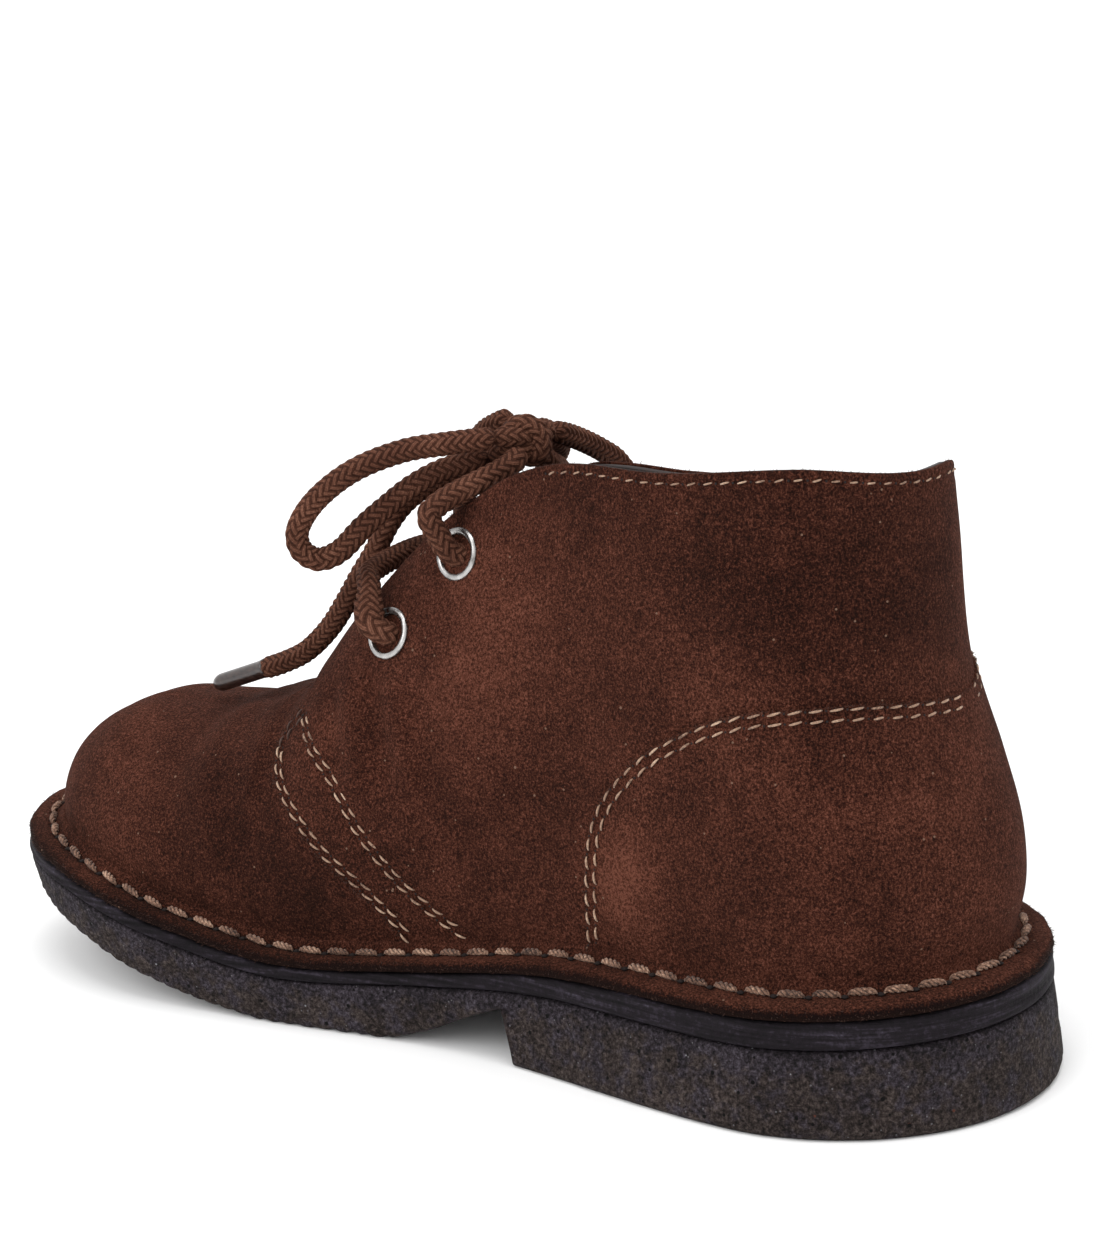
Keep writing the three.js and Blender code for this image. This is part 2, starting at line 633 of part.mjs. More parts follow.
// A length of lace through points, with flat ends
function laceTube(points, diameter, steps) {
  const curve = new THREE.CatmullRomCurve3(points, false, "centripetal");
  const section = new THREE.Shape();
  section.absarc(0, 0, diameter / 2, 0, 2 * Math.PI);
  const options = { steps, extrudePath: curve, curveSegments: LACE_SIDES / 2 };
  return new THREE.ExtrudeGeometry(section, options);
}

const route = (rows) => rows.map(([x, y, z]) => new THREE.Vector3(x, y, z));

// Point above an eyelet where the lace leaves it
function laceStart(side, row, height) {
  const { point, out } = placeOn(side, row);
  return point.clone().addScaledVector(out, height);
}

// Bar across the throat between the two lower eyelets, clear of the leather that it crosses
function lowerBar() {
  const row = EYELETS[0];
  const free = 2 * GAP + EYELET_LIP;
  const over = 0.5 * LACE_DIAMETER + 4 * GAP;
  const half = (side) => [
    laceStart(side, row, free),
    laceStart(side, { share: row.share + 0.007, q: row.q + 0.03 }, free + 0.62 * LACE_DIAMETER),
    laceStart(side, { share: row.share + 0.02, q: 0.88 }, over),
    laceStart(side, { share: row.share + 0.033, q: 0.98 }, over),
  ];
  const inner = half(1);
  const outer = half(-1);
  const middle = inner[3].clone().lerp(outer[3], 0.5).add(new THREE.Vector3(...BAR_CREST));
  return laceTube([...inner, middle, ...outer.reverse()], LACE_DIAMETER, 26);
}

// Strand from an upper eyelet to the knot
function upperStrand(side, reach, clearance) {
  const row = EYELETS[1];
  const free = 2 * GAP + EYELET_LIP;
  const over = 0.5 * LACE_DIAMETER + 4 * GAP;
  const points = [
    laceStart(side, row, free),
    laceStart(side, { share: row.share + 0.002, q: row.q + 0.03 }, free + 0.62 * LACE_DIAMETER),
    laceStart(side, { share: row.share + 0.004, q: 0.96 }, over + clearance),
    new THREE.Vector3(...KNOT).add(new THREE.Vector3(...reach)),
  ];
  return laceTube(points, LACE_DIAMETER, 12);
}

function knot() {
  const ball = new THREE.SphereGeometry(1, 12, 8);
  ball.scale(KNOT_SIZE[0] / 2, KNOT_SIZE[1] / 2, KNOT_SIZE[2] / 2);
  ball.translate(...KNOT);
  return ball;
}

// Aglet carried on from the last stretch of a lace end
function aglet(rows) {
  const points = route(rows);
  const tip = points.at(-1);
  const way = tip.clone().sub(points.at(-2)).normalize();
  const start = tip.clone().addScaledVector(way, GAP);
  const end = start.clone().addScaledVector(way, AGLET_LENGTH);
  return laceTube([start, end], AGLET_DIAMETER, 1);
}

// Everything stands on one group, moved so that the origin is under the middle of the sole
const boot = new THREE.Group();
boot.name = "desert_boot";

function addPiece(name, geometry, color, roughness, metalness = 0) {
  const material = new THREE.MeshStandardMaterial({ color, roughness, metalness });
  const mesh = new THREE.Mesh(geometry, material);
  mesh.name = name;
  boot.add(mesh);
}

addPiece("outsole", outsole(), 0x33292b, 0.85);
addPiece("midsole", midsole(), 0x1f1a1d, 0.45);
addPiece("insole", insole(), 0x4a3226, 0.8);
addPiece("upper", geometryOf(upper()), 0x6b4030, 0.95);
addPiece("tongue", tongue(), 0x5a3428, 0.95);
const SIDE_NAMES = [
  { side: 1, label: "inner", reach: STRAND_REACH_INNER, clearance: STRAND_CLEARANCE_INNER },
  { side: -1, label: "outer", reach: STRAND_REACH_OUTER, clearance: STRAND_CLEARANCE_OUTER },
];
for (const { side, label, reach, clearance } of SIDE_NAMES) {
  for (const row of EYELETS) addPiece(`eyelet_${row.name}_${label}`, eyelet(side, row), 0xb9bcc0, 0.25, 1);
  addPiece(`lace_strand_${label}`, upperStrand(side, reach, clearance), 0x54301f, 0.8);
}
addPiece("lace_bar", lowerBar(), 0x54301f, 0.8);
addPiece("lace_knot", knot(), 0x54301f, 0.8);
addPiece("lace_loop_inner", laceTube(route(LOOP_INNER), LACE_DIAMETER, 30), 0x54301f, 0.8);
addPiece("lace_loop_outer", laceTube(route(LOOP_OUTER), LACE_DIAMETER, 30), 0x54301f, 0.8);
addPiece("lace_end_inner", laceTube(route(END_INNER), LACE_DIAMETER, 20), 0x54301f, 0.8);
addPiece("lace_end_outer", laceTube(route(END_OUTER), LACE_DIAMETER, 14), 0x54301f, 0.8);
addPiece("aglet_inner", aglet(END_INNER), 0x2c1c18, 0.4);
addPiece("aglet_outer", aglet(END_OUTER), 0x2c1c18, 0.4);

const footprint = new THREE.Box3();
for (const name of ["outsole", "midsole", "upper"]) footprint.expandByObject(boot.getObjectByName(name));
const middle = footprint.getCenter(new THREE.Vector3());
boot.position.set(-middle.x, -middle.y, -footprint.min.z);

export default boot;
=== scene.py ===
import math
import random

import bmesh
import bpy
import numpy as np
from mathutils import Matrix, Vector, noise


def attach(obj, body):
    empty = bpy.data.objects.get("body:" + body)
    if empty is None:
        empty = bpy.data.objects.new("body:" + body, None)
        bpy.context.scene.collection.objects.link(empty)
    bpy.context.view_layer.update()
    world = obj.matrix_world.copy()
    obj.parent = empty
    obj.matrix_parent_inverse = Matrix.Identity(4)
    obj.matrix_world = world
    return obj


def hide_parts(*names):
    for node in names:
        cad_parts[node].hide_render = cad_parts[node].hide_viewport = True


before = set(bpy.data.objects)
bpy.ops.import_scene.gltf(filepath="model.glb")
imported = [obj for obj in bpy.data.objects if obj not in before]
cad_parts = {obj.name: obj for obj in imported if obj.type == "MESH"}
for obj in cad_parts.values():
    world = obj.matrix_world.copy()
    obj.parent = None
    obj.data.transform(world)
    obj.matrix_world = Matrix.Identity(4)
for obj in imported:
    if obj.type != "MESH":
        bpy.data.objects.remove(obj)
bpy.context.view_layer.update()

# Camera. It looks at the boot's inner side from behind the heel and a little above, leaning slightly,
# at the distance that gives the photograph's perspective.
CAMERA_TURN, CAMERA_RISE, CAMERA_ROLL = math.radians(32.0), math.radians(14.12), math.radians(-2.82)
CAMERA_AIM = Vector((-0.00748, -0.00064, 0.06457))
CAMERA_DISTANCE = 0.4032
FOCAL_PIXELS, LONG_SIDE_PIXELS, SENSOR_MM = 2444.6, 1237, 36.0

away = Vector((
    -math.sin(CAMERA_TURN) * math.cos(CAMERA_RISE),
    math.cos(CAMERA_TURN) * math.cos(CAMERA_RISE),
    math.sin(CAMERA_RISE),
))
level_right = (-away).cross(Vector((0, 0, 1))).normalized()
level_up = level_right.cross(-away)
rolled_right = math.cos(CAMERA_ROLL) * level_right + math.sin(CAMERA_ROLL) * level_up
rolled_up = -math.sin(CAMERA_ROLL) * level_right + math.cos(CAMERA_ROLL) * level_up
camera_data = bpy.data.cameras.new("camera")
camera_data.sensor_width = SENSOR_MM
camera_data.lens = FOCAL_PIXELS / LONG_SIDE_PIXELS * SENSOR_MM
camera_data.clip_start, camera_data.clip_end = 0.01, 20.0
camera = bpy.data.objects.new("camera", camera_data)
bpy.context.scene.collection.objects.link(camera)
turn = Matrix((rolled_right, rolled_up, away)).transposed().to_4x4()
camera.matrix_world = Matrix.Translation(CAMERA_AIM + CAMERA_DISTANCE * away) @ turn
bpy.context.scene.camera = camera

# Crepe outsole. It is moulded in one piece with its heel, of dark crumbled crepe rubber, and cemented
# under the runner. Its sizes are the boot's, in millimetres from the back of the sole and from its middle line.
SOLE_LENGTH = 190.0
HEEL_BREADTH, WAIST_BREADTH, BALL_BREADTH, TOE_BREADTH = 64.5, 58.0, 73.0, 70.0
HEEL_ROUND, TOE_ROUND = 37.0, 46.0
SEAT_HEIGHT, TOE_SPRING = 19.6, 12.5
RUNNER_THICK, RUNNER_HEEL_THICK = 1.9, 4.3
HEEL_LENGTH, BREAST_HEIGHT, BREAST_LEAN = 77.0, 10.5, 2.0
HEEL_FLARE, EDGE_BEVEL = 1.4, 0.9
FLANGE_WIDTH, FLANGE_THICK = 6.0, 1.6
GAP = 0.3
SOLE_ORIGIN = np.array([94.3, -1.99, 0.0])
OUTLINE = {
    "at": [0.0, 0.2, 0.44, 0.66, 0.86, 1.0],
    "breadth": [HEEL_BREADTH, HEEL_BREADTH, WAIST_BREADTH, BALL_BREADTH, TOE_BREADTH, TOE_BREADTH],
    "middle": [0.02 * HEEL_BREADTH, 0.02 * HEEL_BREADTH, 0.0, -0.04 * BALL_BREADTH, 0.03 * TOE_BREADTH,
               0.08 * TOE_BREADTH],
}
FLANGE_LINE = {
    "at": [0.0, 0.2, 0.36, 0.5, 0.64, 0.76, 0.88, 1.0],
    "spring": [0.08, -0.06, -0.14, -0.44, -0.59, -0.28, 0.15, 0.41],
    "drop": [1.3, 1.3, 0.9, 0.3, 0.0, 0.0, 0.3, 0.5],
}
SOLE_LAYERS = {
    "at": [0.0, 0.3, 0.5, 0.7, 1.0],
    "runner": [RUNNER_HEEL_THICK, 0.85 * RUNNER_HEEL_THICK, RUNNER_THICK, RUNNER_THICK, RUNNER_THICK],
    "flare": [HEEL_FLARE, 1.3 * HEEL_FLARE, 0.1 * HEEL_FLARE, -0.4 * HEEL_FLARE, -0.7 * HEEL_FLARE],
}
UNDERSIDE = {
    "at": [0.4, 0.45, 0.5, 0.545, 0.655, 0.72, 0.8, 0.9, 1.0],
    "height": [BREAST_HEIGHT, 0.62 * BREAST_HEIGHT, 0.2 * BREAST_HEIGHT, 0.0, 0.0, 0.13 * TOE_SPRING,
               0.42 * TOE_SPRING, 0.86 * TOE_SPRING, 1.18 * TOE_SPRING],
}


def column(table, name, at):
    """Smooth curve through one named column of a table."""
    places, values = np.array(table["at"]), np.array(table[name])
    x = np.clip(at, places[0], places[-1])
    i = np.clip(np.searchsorted(places, x, side="left") - 1, 0, len(places) - 2)
    slopes = np.empty(len(places))
    slopes[1:-1] = (values[2:] - values[:-2]) / (places[2:] - places[:-2])
    slopes[0] = (values[1] - values[0]) / (places[1] - places[0])
    slopes[-1] = (values[-1] - values[-2]) / (places[-1] - places[-2])
    run = places[i + 1] - places[i]
    t = (x - places[i]) / run
    h = t * t * (3 - 2 * t)
    ease = run * (t * (1 - t) ** 2 * slopes[i] - t * t * (1 - t) * slopes[i + 1])
    return values[i] + (values[i + 1] - values[i]) * h + ease


def quarter_round(distance, reach):
    t = 1 - np.clip(distance / reach, 0, 1)
    return np.sqrt(np.maximum(0, 1 - t * t))


def along_sole(share, inset):
    return inset + (SOLE_LENGTH - 2 * inset) * share


def outline_y(x, side, inset):
    half = column(OUTLINE, "breadth", x / SOLE_LENGTH) / 2 - inset
    heel = quarter_round(x - inset, HEEL_ROUND - inset)
    toe = quarter_round(SOLE_LENGTH - inset - x, TOE_ROUND - inset)
    return column(OUTLINE, "middle", x / SOLE_LENGTH) + side * half * heel * toe


def flange_height(x):
    return SEAT_HEIGHT + column(FLANGE_LINE, "spring", x / SOLE_LENGTH) * TOE_SPRING


def flange_drop(x):
    return column(FLANGE_LINE, "drop", x / SOLE_LENGTH)


def runner_top(x):
    return flange_height(x) - FLANGE_THICK - GAP


def runner_foot(x):
    return runner_top(x) - column(SOLE_LAYERS, "runner", x / SOLE_LENGTH)


def crepe_bottom(x):
    breast = (x - HEEL_LENGTH) / BREAST_LEAN
    under = np.maximum(0, column(UNDERSIDE, "height", x / SOLE_LENGTH))
    return np.where(breast < 1, np.clip(breast, 0, 1) * under, under)


def round_shares(count):
    """Shares from heel to toe, closer together at both ends, so that steps round the outline are even."""
    return (1 - np.cos(np.pi * np.linspace(0, 1, count))) / 2


def rough(points, size, seed=0.0):
    """Soft noise from -1 to 1 at points in millimetres, with lumps of the given size."""
    flat = points.reshape(-1, 3) / size + seed
    return np.array([noise.noise(Vector(p)) for p in flat]).reshape(points.shape[:-1]) * 1.6


def raise_piece(name, points, faces, finishes, slot, corner_values=None):
    """Mesh object from points in sole millimetres, riding on the boot, with its finish."""
    mesh = bpy.data.meshes.new(name)
    mesh.from_pydata(((points - SOLE_ORIGIN) / 1000).tolist(), [], faces)
    for label, values in (corner_values or {}).items():
        mesh.attributes.new(label, "FLOAT", "CORNER").data.foreach_set("value", values)
    build = bmesh.new()
    build.from_mesh(mesh)
    bmesh.ops.remove_doubles(build, verts=build.verts, dist=2e-6)
    bmesh.ops.dissolve_degenerate(build, edges=build.edges, dist=1e-6)
    bmesh.ops.recalc_face_normals(build, faces=build.faces)
    build.to_mesh(mesh)
    build.free()
    mesh.shade_smooth()
    piece = bpy.data.objects.new(name, mesh)
    bpy.context.scene.collection.objects.link(piece)
    for finish in finishes:
        mesh.materials.append(finish)
    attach(piece, "root")
    return piece


def grid_faces(rows, columns, around=False, looped=False, start=0):
    """Quads over a grid of points; around joins the last column to the first, looped the last row to the first."""
    r = np.arange(rows if looped else rows - 1)[:, None]
    c = np.arange(columns if around else columns - 1)[None, :]
    r2, c2 = (r + 1) % rows, (c + 1) % columns
    quads = np.stack(np.broadcast_arrays(r * columns + c, r * columns + c2, r2 * columns + c2, r2 * columns + c), -1)
    return (quads.reshape(-1, 4) + start).tolist()


def new_finish(name, roughness, base=None, **sockets):
    """Material with its plain values set on the shader's own sockets."""
    material = bpy.data.materials.new(name)
    material.use_nodes = True
    shader = material.node_tree.nodes["Principled BSDF"]
    shader.inputs["Roughness"].default_value = roughness
    if base:
        shader.inputs["Base Color"].default_value = (*base, 1)
    for socket, value in sockets.items():
        shader.inputs[socket.replace("_", " ")].default_value = value
    return material, material.node_tree, shader


def grain(tree, per_metre, detail=2.0, rough_share=0.5, stretch=(1, 1, 1), distortion=0.0):
    """Noise fixed to the boot, with so many lumps to the metre."""
    place = tree.nodes.new("ShaderNodeTexCoord")
    mapping = tree.nodes.new("ShaderNodeMapping")
    mapping.inputs["Scale"].default_value = stretch
    lumps = tree.nodes.new("ShaderNodeTexNoise")
    lumps.inputs["Scale"].default_value = per_metre
    lumps.inputs["Detail"].default_value = detail
    lumps.inputs["Roughness"].default_value = rough_share
    lumps.inputs["Distortion"].default_value = distortion
    tree.links.new(place.outputs["Object"], mapping.inputs["Vector"])
    tree.links.new(mapping.outputs["Vector"], lumps.inputs["Vector"])
    return lumps.outputs["Fac"]


def cells(tree, per_metre, randomness=1.0):
    """Scattered dots fixed to the boot: distance to the nearest one, and its own random grey."""
    place = tree.nodes.new("ShaderNodeTexCoord")
    dots = tree.nodes.new("ShaderNodeTexVoronoi")
    dots.inputs["Scale"].default_value = per_metre
    dots.inputs["Randomness"].default_value = randomness
    split = tree.nodes.new("ShaderNodeSeparateColor")
    tree.links.new(place.outputs["Object"], dots.inputs["Vector"])
    tree.links.new(dots.outputs["Color"], split.inputs["Color"])
    return dots.outputs["Distance"], split.outputs["Red"]


def sums(tree, operation, first, second, third=None):
    """One sum on two values, each a socket or a number."""
    step = tree.nodes.new("ShaderNodeMath")
    step.operation = operation
    for place, value in zip(step.inputs, (first, second, third)):
        if isinstance(value, (int, float)):
            place.default_value = value
        elif value is not None:
            tree.links.new(value, place)
    return step.outputs["Value"]


def shades(tree, value, stops):
    """Colours along a value: stops are (place, colour)."""
    ramp = tree.nodes.new("ShaderNodeValToRGB")
    ramp.color_ramp.interpolation = "EASE"
    while len(ramp.color_ramp.elements) < len(stops):
        ramp.color_ramp.elements.new(0.5)
    for element, (place, colour) in zip(ramp.color_ramp.elements, stops):
        element.position, element.color = place, (*colour, 1)
    tree.links.new(value, ramp.inputs["Fac"])
    return ramp.outputs["Color"]


def blended(tree, share, first, second):
    """Mix of two colours, each a socket or a plain colour."""
    mixer = tree.nodes.new("ShaderNodeMix")
    mixer.data_type = "RGBA"
    for place, value in ((mixer.inputs["Factor"], share), (mixer.inputs[6], first), (mixer.inputs[7], second)):
        if isinstance(value, bpy.types.NodeSocket):
            tree.links.new(value, place)
        elif isinstance(value, tuple):
            place.default_value = (*value, 1)
        else:
            place.default_value = value
    return mixer.outputs[2]


def relief(tree, shader, height, millimetres, strength=1.0):
    """Bump of a real height on the shader's normal."""
    bump = tree.nodes.new("ShaderNodeBump")
    bump.inputs["Strength"].default_value = strength
    bump.inputs["Distance"].default_value = millimetres / 1000
    tree.links.new(height, bump.inputs["Height"])
    tree.links.new(bump.outputs["Normal"], shader.inputs["Normal"])


def sole_points(piece):
    """Vertices of a piece in sole millimetres."""
    co = np.empty(len(piece.data.vertices) * 3)
    piece.data.vertices.foreach_get("co", co)
    return co.reshape(-1, 3) * 1000 + SOLE_ORIGIN


def crepe_finish():
    material, tree, shader = new_finish("crepe_rubber", 0.82, Specular_IOR_Level=0.15)
    rise = tree.nodes.new("ShaderNodeAttribute")
    rise.attribute_name = "rise"
    crumb = grain(tree, 1500, 6.0, 0.82)
    cloud = grain(tree, 90, 4.0, 0.6)
    hue = grain(tree, 330, 3.0, 0.6)
    value = sums(tree, "MULTIPLY_ADD", crumb, 1.35, sums(tree, "MULTIPLY_ADD", cloud, 0.25, -0.24))
    value = sums(tree, "MULTIPLY_ADD", rise.outputs["Fac"], -0.05, value)
    warm = shades(tree, value, [
        (0.38, (0.004, 0.0028, 0.0025)), (0.5, (0.022, 0.015, 0.0134)), (0.6, (0.056, 0.041, 0.037)),
        (0.76, (0.13, 0.1, 0.09)),
    ])
    cool = shades(tree, value, [
        (0.38, (0.004, 0.003, 0.004)), (0.5, (0.02, 0.015, 0.0187)), (0.6, (0.05, 0.04, 0.05)),
        (0.76, (0.12, 0.103, 0.128)),
    ])
    coolness = sums(tree, "MULTIPLY_ADD", rise.outputs["Fac"], 0.25, hue)
    colour = blended(tree, shades(tree, coolness, [(0.46, (0, 0, 0)), (0.68, (1, 1, 1))]), warm, cool)
    height = crumb
    for per_metre, reach, share, tint in (
        (1700, 0.24, 0.035, (0.16, 0.15, 0.16)), (650, 0.11, 0.04, (0.3, 0.3, 0.32)), (420, 0.1, 0.02, (0.12, 0.04, 0.026)),
    ):
        distance, pick = cells(tree, per_metre)
        dot = sums(tree, "MULTIPLY", sums(tree, "LESS_THAN", distance, reach), sums(tree, "LESS_THAN", pick, share))
        colour = blended(tree, dot, colour, tint)
    # Near-black dots, sunk by the bump below: painted shade in the hollows of the crumb.
    distance, pick = cells(tree, 900)
    pit = sums(tree, "MULTIPLY", sums(tree, "LESS_THAN", distance, 0.3), sums(tree, "LESS_THAN", pick, 0.07))
    colour = blended(tree, pit, colour, (0.002, 0.0015, 0.0015))
    tree.links.new(colour, shader.inputs["Base Color"])
    relief(tree, shader, sums(tree, "SUBTRACT", height, sums(tree, "MULTIPLY", pit, 0.45)), 0.9, 1.0)
    return material


CREPE_STATIONS, CREPE_SIDE_ROWS, CREPE_BOTTOM_COLUMNS = 430, 26, 26
SCALLOP_PITCH, SCALLOP_DEPTH = 3.1, 0.3
breast_marks = [(HEEL_LENGTH + step) / SOLE_LENGTH for step in (-0.6, 0.0, 0.5, 1.5, 2.0, 2.6)]
crepe_shares = np.sort(np.concatenate([round_shares(CREPE_STATIONS), breast_marks]))
loops = []
for share in crepe_shares:
    level_x = along_sole(share, 0)
    bottom, top = float(crepe_bottom(level_x)), float(runner_foot(level_x)) - GAP
    flare = float(column(SOLE_LAYERS, "flare", share))
    heights = np.linspace(0, 1, CREPE_SIDE_ROWS)
    rise = bottom + (top - bottom) * heights
    from_edge = np.minimum(rise - bottom, top - rise)
    corner = 0.8 * np.maximum(0, 1 - (rise - bottom) / 1.0) ** 2 + 0.25 * np.maximum(0, 1 - (top - rise) / 0.7) ** 2
    inset = -flare * np.clip(1.15 * (1 - heights), 0, 1) + corner
    x = along_sole(share, inset)
    inner = np.stack([x, outline_y(x, 1, inset), rise], -1)
    outer = np.stack([x, outline_y(x, -1, inset), rise], -1)
    across = np.linspace(0, 1, CREPE_BOTTOM_COLUMNS)[1:-1, None]
    under = outer[0] + (inner[0] - outer[0]) * across
    over = inner[-1] + (outer[-1] - inner[-1]) * np.linspace(0, 1, 6)[1:-1, None]
    loops.append(np.concatenate([under, inner, over, outer[::-1]]))
crepe = np.array(loops)
lumps = 0.55 * rough(crepe, 1.5) + 0.45 * rough(crepe, 4.2, 7.0)
side_columns = np.arange(CREPE_BOTTOM_COLUMNS - 2, CREPE_BOTTOM_COLUMNS - 2 + CREPE_SIDE_ROWS)
far_columns = np.arange(crepe.shape[1] - CREPE_SIDE_ROWS, crepe.shape[1])
travel = np.concatenate([[0], np.cumsum(np.linalg.norm(np.diff(crepe[:, side_columns[4]], axis=0), axis=1))])
fore = np.clip((crepe[:, 0, 0] - HEEL_LENGTH - 14) / 10, 0, 1)
scallop = np.abs(np.sin(np.pi * travel / SCALLOP_PITCH + 0.9 * np.sin(travel / 9))) ** 1.2
scallop = np.clip(scallop + 0.45 * lumps[:, side_columns[0]], 0, 1)
for near, columns_, side in ((True, side_columns, 1), (False, far_columns[::-1], -1)):
    outward = np.zeros((len(crepe), 2))
    outward[:, 0] = np.clip((crepe[:, columns_[0], 0] - 95) / 95, -1, 1) ** 5
    outward[:, 1] = side * np.sqrt(1 - outward[:, 0] ** 2)
    for k, col in enumerate(columns_):
        share_up = k / (CREPE_SIDE_ROWS - 1)
        push = 0.2 * lumps[:, col] * min(1.0, 4 * share_up + 0.25, 6 * (1 - share_up))
        low = np.exp(-((crepe[:, col, 2] - crepe[:, columns_[0], 2]) / 1.3) ** 2)
        push = push - fore * low * SCALLOP_DEPTH * (1 - scallop) * 0.8
        crepe[:, col, :2] += outward * push[:, None]
        crepe[:, col, 2] += fore * low * SCALLOP_DEPTH * (1 - scallop) * 0.7
under_columns = np.arange(CREPE_BOTTOM_COLUMNS - 2)
crepe[:, under_columns, 2] += 0.12 * (lumps[:, under_columns] + 1.2) * np.clip(fore + 0.3, 0, 1)[:, None]
crepe[:, :, 2] = np.maximum(crepe[:, :, 2], 0.0)
outsole = raise_piece(
    "crepe_outsole", crepe.reshape(-1, 3), grid_faces(*crepe.shape[:2], around=True), [crepe_finish()], "crepe",
)
below_top = runner_foot(sole_points(outsole)[:, 0]) - GAP - sole_points(outsole)[:, 2]
outsole.data.attributes.new("rise", "FLOAT", "POINT").data.foreach_set("value", np.exp(-np.maximum(0, below_top) / 3))
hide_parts("outsole")


# Runner. A strip of dark polished board or rubber between the flange and the crepe, ground flush with both,
# so that its edge shows a rounded lip; its bluish shine is painted into the colour as pale streaks.
def runner_finish():
    material, tree, shader = new_finish("runner_edge", 0.7, Specular_IOR_Level=0.1)
    highlight_streak = grain(tree, 190, 4.0, 0.62, stretch=(0.3, 0.3, 6.0))
    scuff = grain(tree, 1150, 5.0, 0.78)
    value = sums(tree, "ADD", sums(tree, "MULTIPLY", highlight_streak, 0.55), sums(tree, "MULTIPLY", scuff, 0.45))
    # The pale bluish top stop paints highlights along the streaks.
    tree.links.new(shades(tree, value, [
        (0.4, (0.004, 0.003, 0.004)), (0.51, (0.0105, 0.008, 0.0105)), (0.59, (0.029, 0.0235, 0.032)),
        (0.7, (0.1, 0.09, 0.12)),
    ]), shader.inputs["Base Color"])
    tree.links.new(shades(tree, scuff, [(0.3, (0.55,) * 3), (0.7, (0.85,) * 3)]), shader.inputs["Roughness"])
    relief(tree, shader, value, 0.6, 1.0)
    return material


RUNNER_PROFILE = [  # share of the height, inset
    (0.0, 0.5), (0.05, 0.12), (0.16, -0.16), (0.3, -0.12), (0.42, 0.06), (0.6, 0.1), (0.78, 0.08), (0.92, 0.14),
    (1.0, 0.5),
]
loops = []
for share in round_shares(260):
    level_x = along_sole(share, 0)
    foot, top = float(runner_foot(level_x)), float(runner_top(level_x))
    up = np.array([height for height, _ in RUNNER_PROFILE])
    inset = np.array([inset for _, inset in RUNNER_PROFILE])
    x = along_sole(share, inset)
    rise = foot + (top - foot) * up
    inner = np.stack([x, outline_y(x, 1, inset), rise], -1)
    outer = np.stack([x, outline_y(x, -1, inset), rise], -1)
    loops.append(np.concatenate([inner, outer[::-1]]))
runner = np.array(loops)
runner[:, :, :2] += 0.05 * rough(runner, 7.0)[:, :, None] * np.sign(runner[:, :, 1:2])
midsole = raise_piece(
    "runner_strip", runner.reshape(-1, 3), grid_faces(*runner.shape[:2], around=True), [runner_finish()], "runner",
)
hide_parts("midsole")

# Upper: vamp, two quarters and heel counter of brown suede, cut as panels, skived, lapped and sewn in double
# rows, then turned outwards at the foot. Their places are given as a share along the sole and up the wall.
COLLAR_HEIGHT, COLLAR_BREADTH, ANKLE_DIP = 76.0, 45.0, 8.5
INSTEP_HEIGHT, TOE_BOX_HEIGHT, TOE_TOP_ROUND, THROAT_BREADTH = 55.0, 24.0, 22.0, 21.0
BACK_LEAN, BACK_LEAN_REACH, CENTRE_FADE, THROAT_BASE = 10.6, 70.0, 1.6, 0.702
WALL = 1.7
SECTIONS = {
    "at": [0.0, 0.1, 0.25, 0.35, 0.41, 0.445, 0.51, 0.607, 0.68, 0.702, 0.81, 0.916, 1.0],
    "top": [0.46 * COLLAR_BREADTH, 0.49 * COLLAR_BREADTH, 0.5 * COLLAR_BREADTH, 0.42 * COLLAR_BREADTH,
            0.76 * THROAT_BREADTH, 0.7 * THROAT_BREADTH, 0.6 * THROAT_BREADTH, 0.5 * THROAT_BREADTH,
            0.4 * THROAT_BREADTH, 0.37 * THROAT_BREADTH, 0.2 * THROAT_BREADTH, 0.12 * THROAT_BREADTH,
            0.05 * THROAT_BREADTH],
    "rise": [0.962 * COLLAR_HEIGHT, 1.002 * COLLAR_HEIGHT, 1.0 * COLLAR_HEIGHT, 1.01 * COLLAR_HEIGHT,
             1.378 * INSTEP_HEIGHT, 1.345 * INSTEP_HEIGHT, 1.245 * INSTEP_HEIGHT, 1.0 * INSTEP_HEIGHT,
             0.72 * INSTEP_HEIGHT, 1.54 * TOE_BOX_HEIGHT, 1.15 * TOE_BOX_HEIGHT, 0.975 * TOE_BOX_HEIGHT,
             0.94 * TOE_BOX_HEIGHT],
    "bulge": [0.05, 0.06, 0.08, 0.1, 0.13, 0.15, 0.18, 0.13, 0.09, 0.08, 0.08, 0.06, 0.03],
    "low": [0.3, 0.3, 0.3, 0.32, 0.34, 0.36, 0.4, 0.5, 0.56, 0.58, 0.6, 0.6, 0.6],
    "shoulder": [0.1, 0.1, 0.12, 0.2, 0.3, 0.38, 0.52, 0.62, 0.62, 0.7, 0.52, 0.53, 0.55],
    "high": [0.66, 0.66, 0.66, 0.7, 0.76, 0.8, 0.86, 0.93, 0.98, 1.0, 1.0, 1.0, 1.0],
    "dip": [0.0, 0.9, 1.08, 0.96, 0.5, 0.2, 0.0, 0.0, 0.0, 0.0, 0.0, 0.0, 0.0],
}
BACK_LINE = {"at": [0.0, 0.12, 0.24, 0.38, 0.56, 0.8, 1.0], "lean": [0.0, -0.09, -0.02, 0.28, 0.72, 0.87, 1.0]}


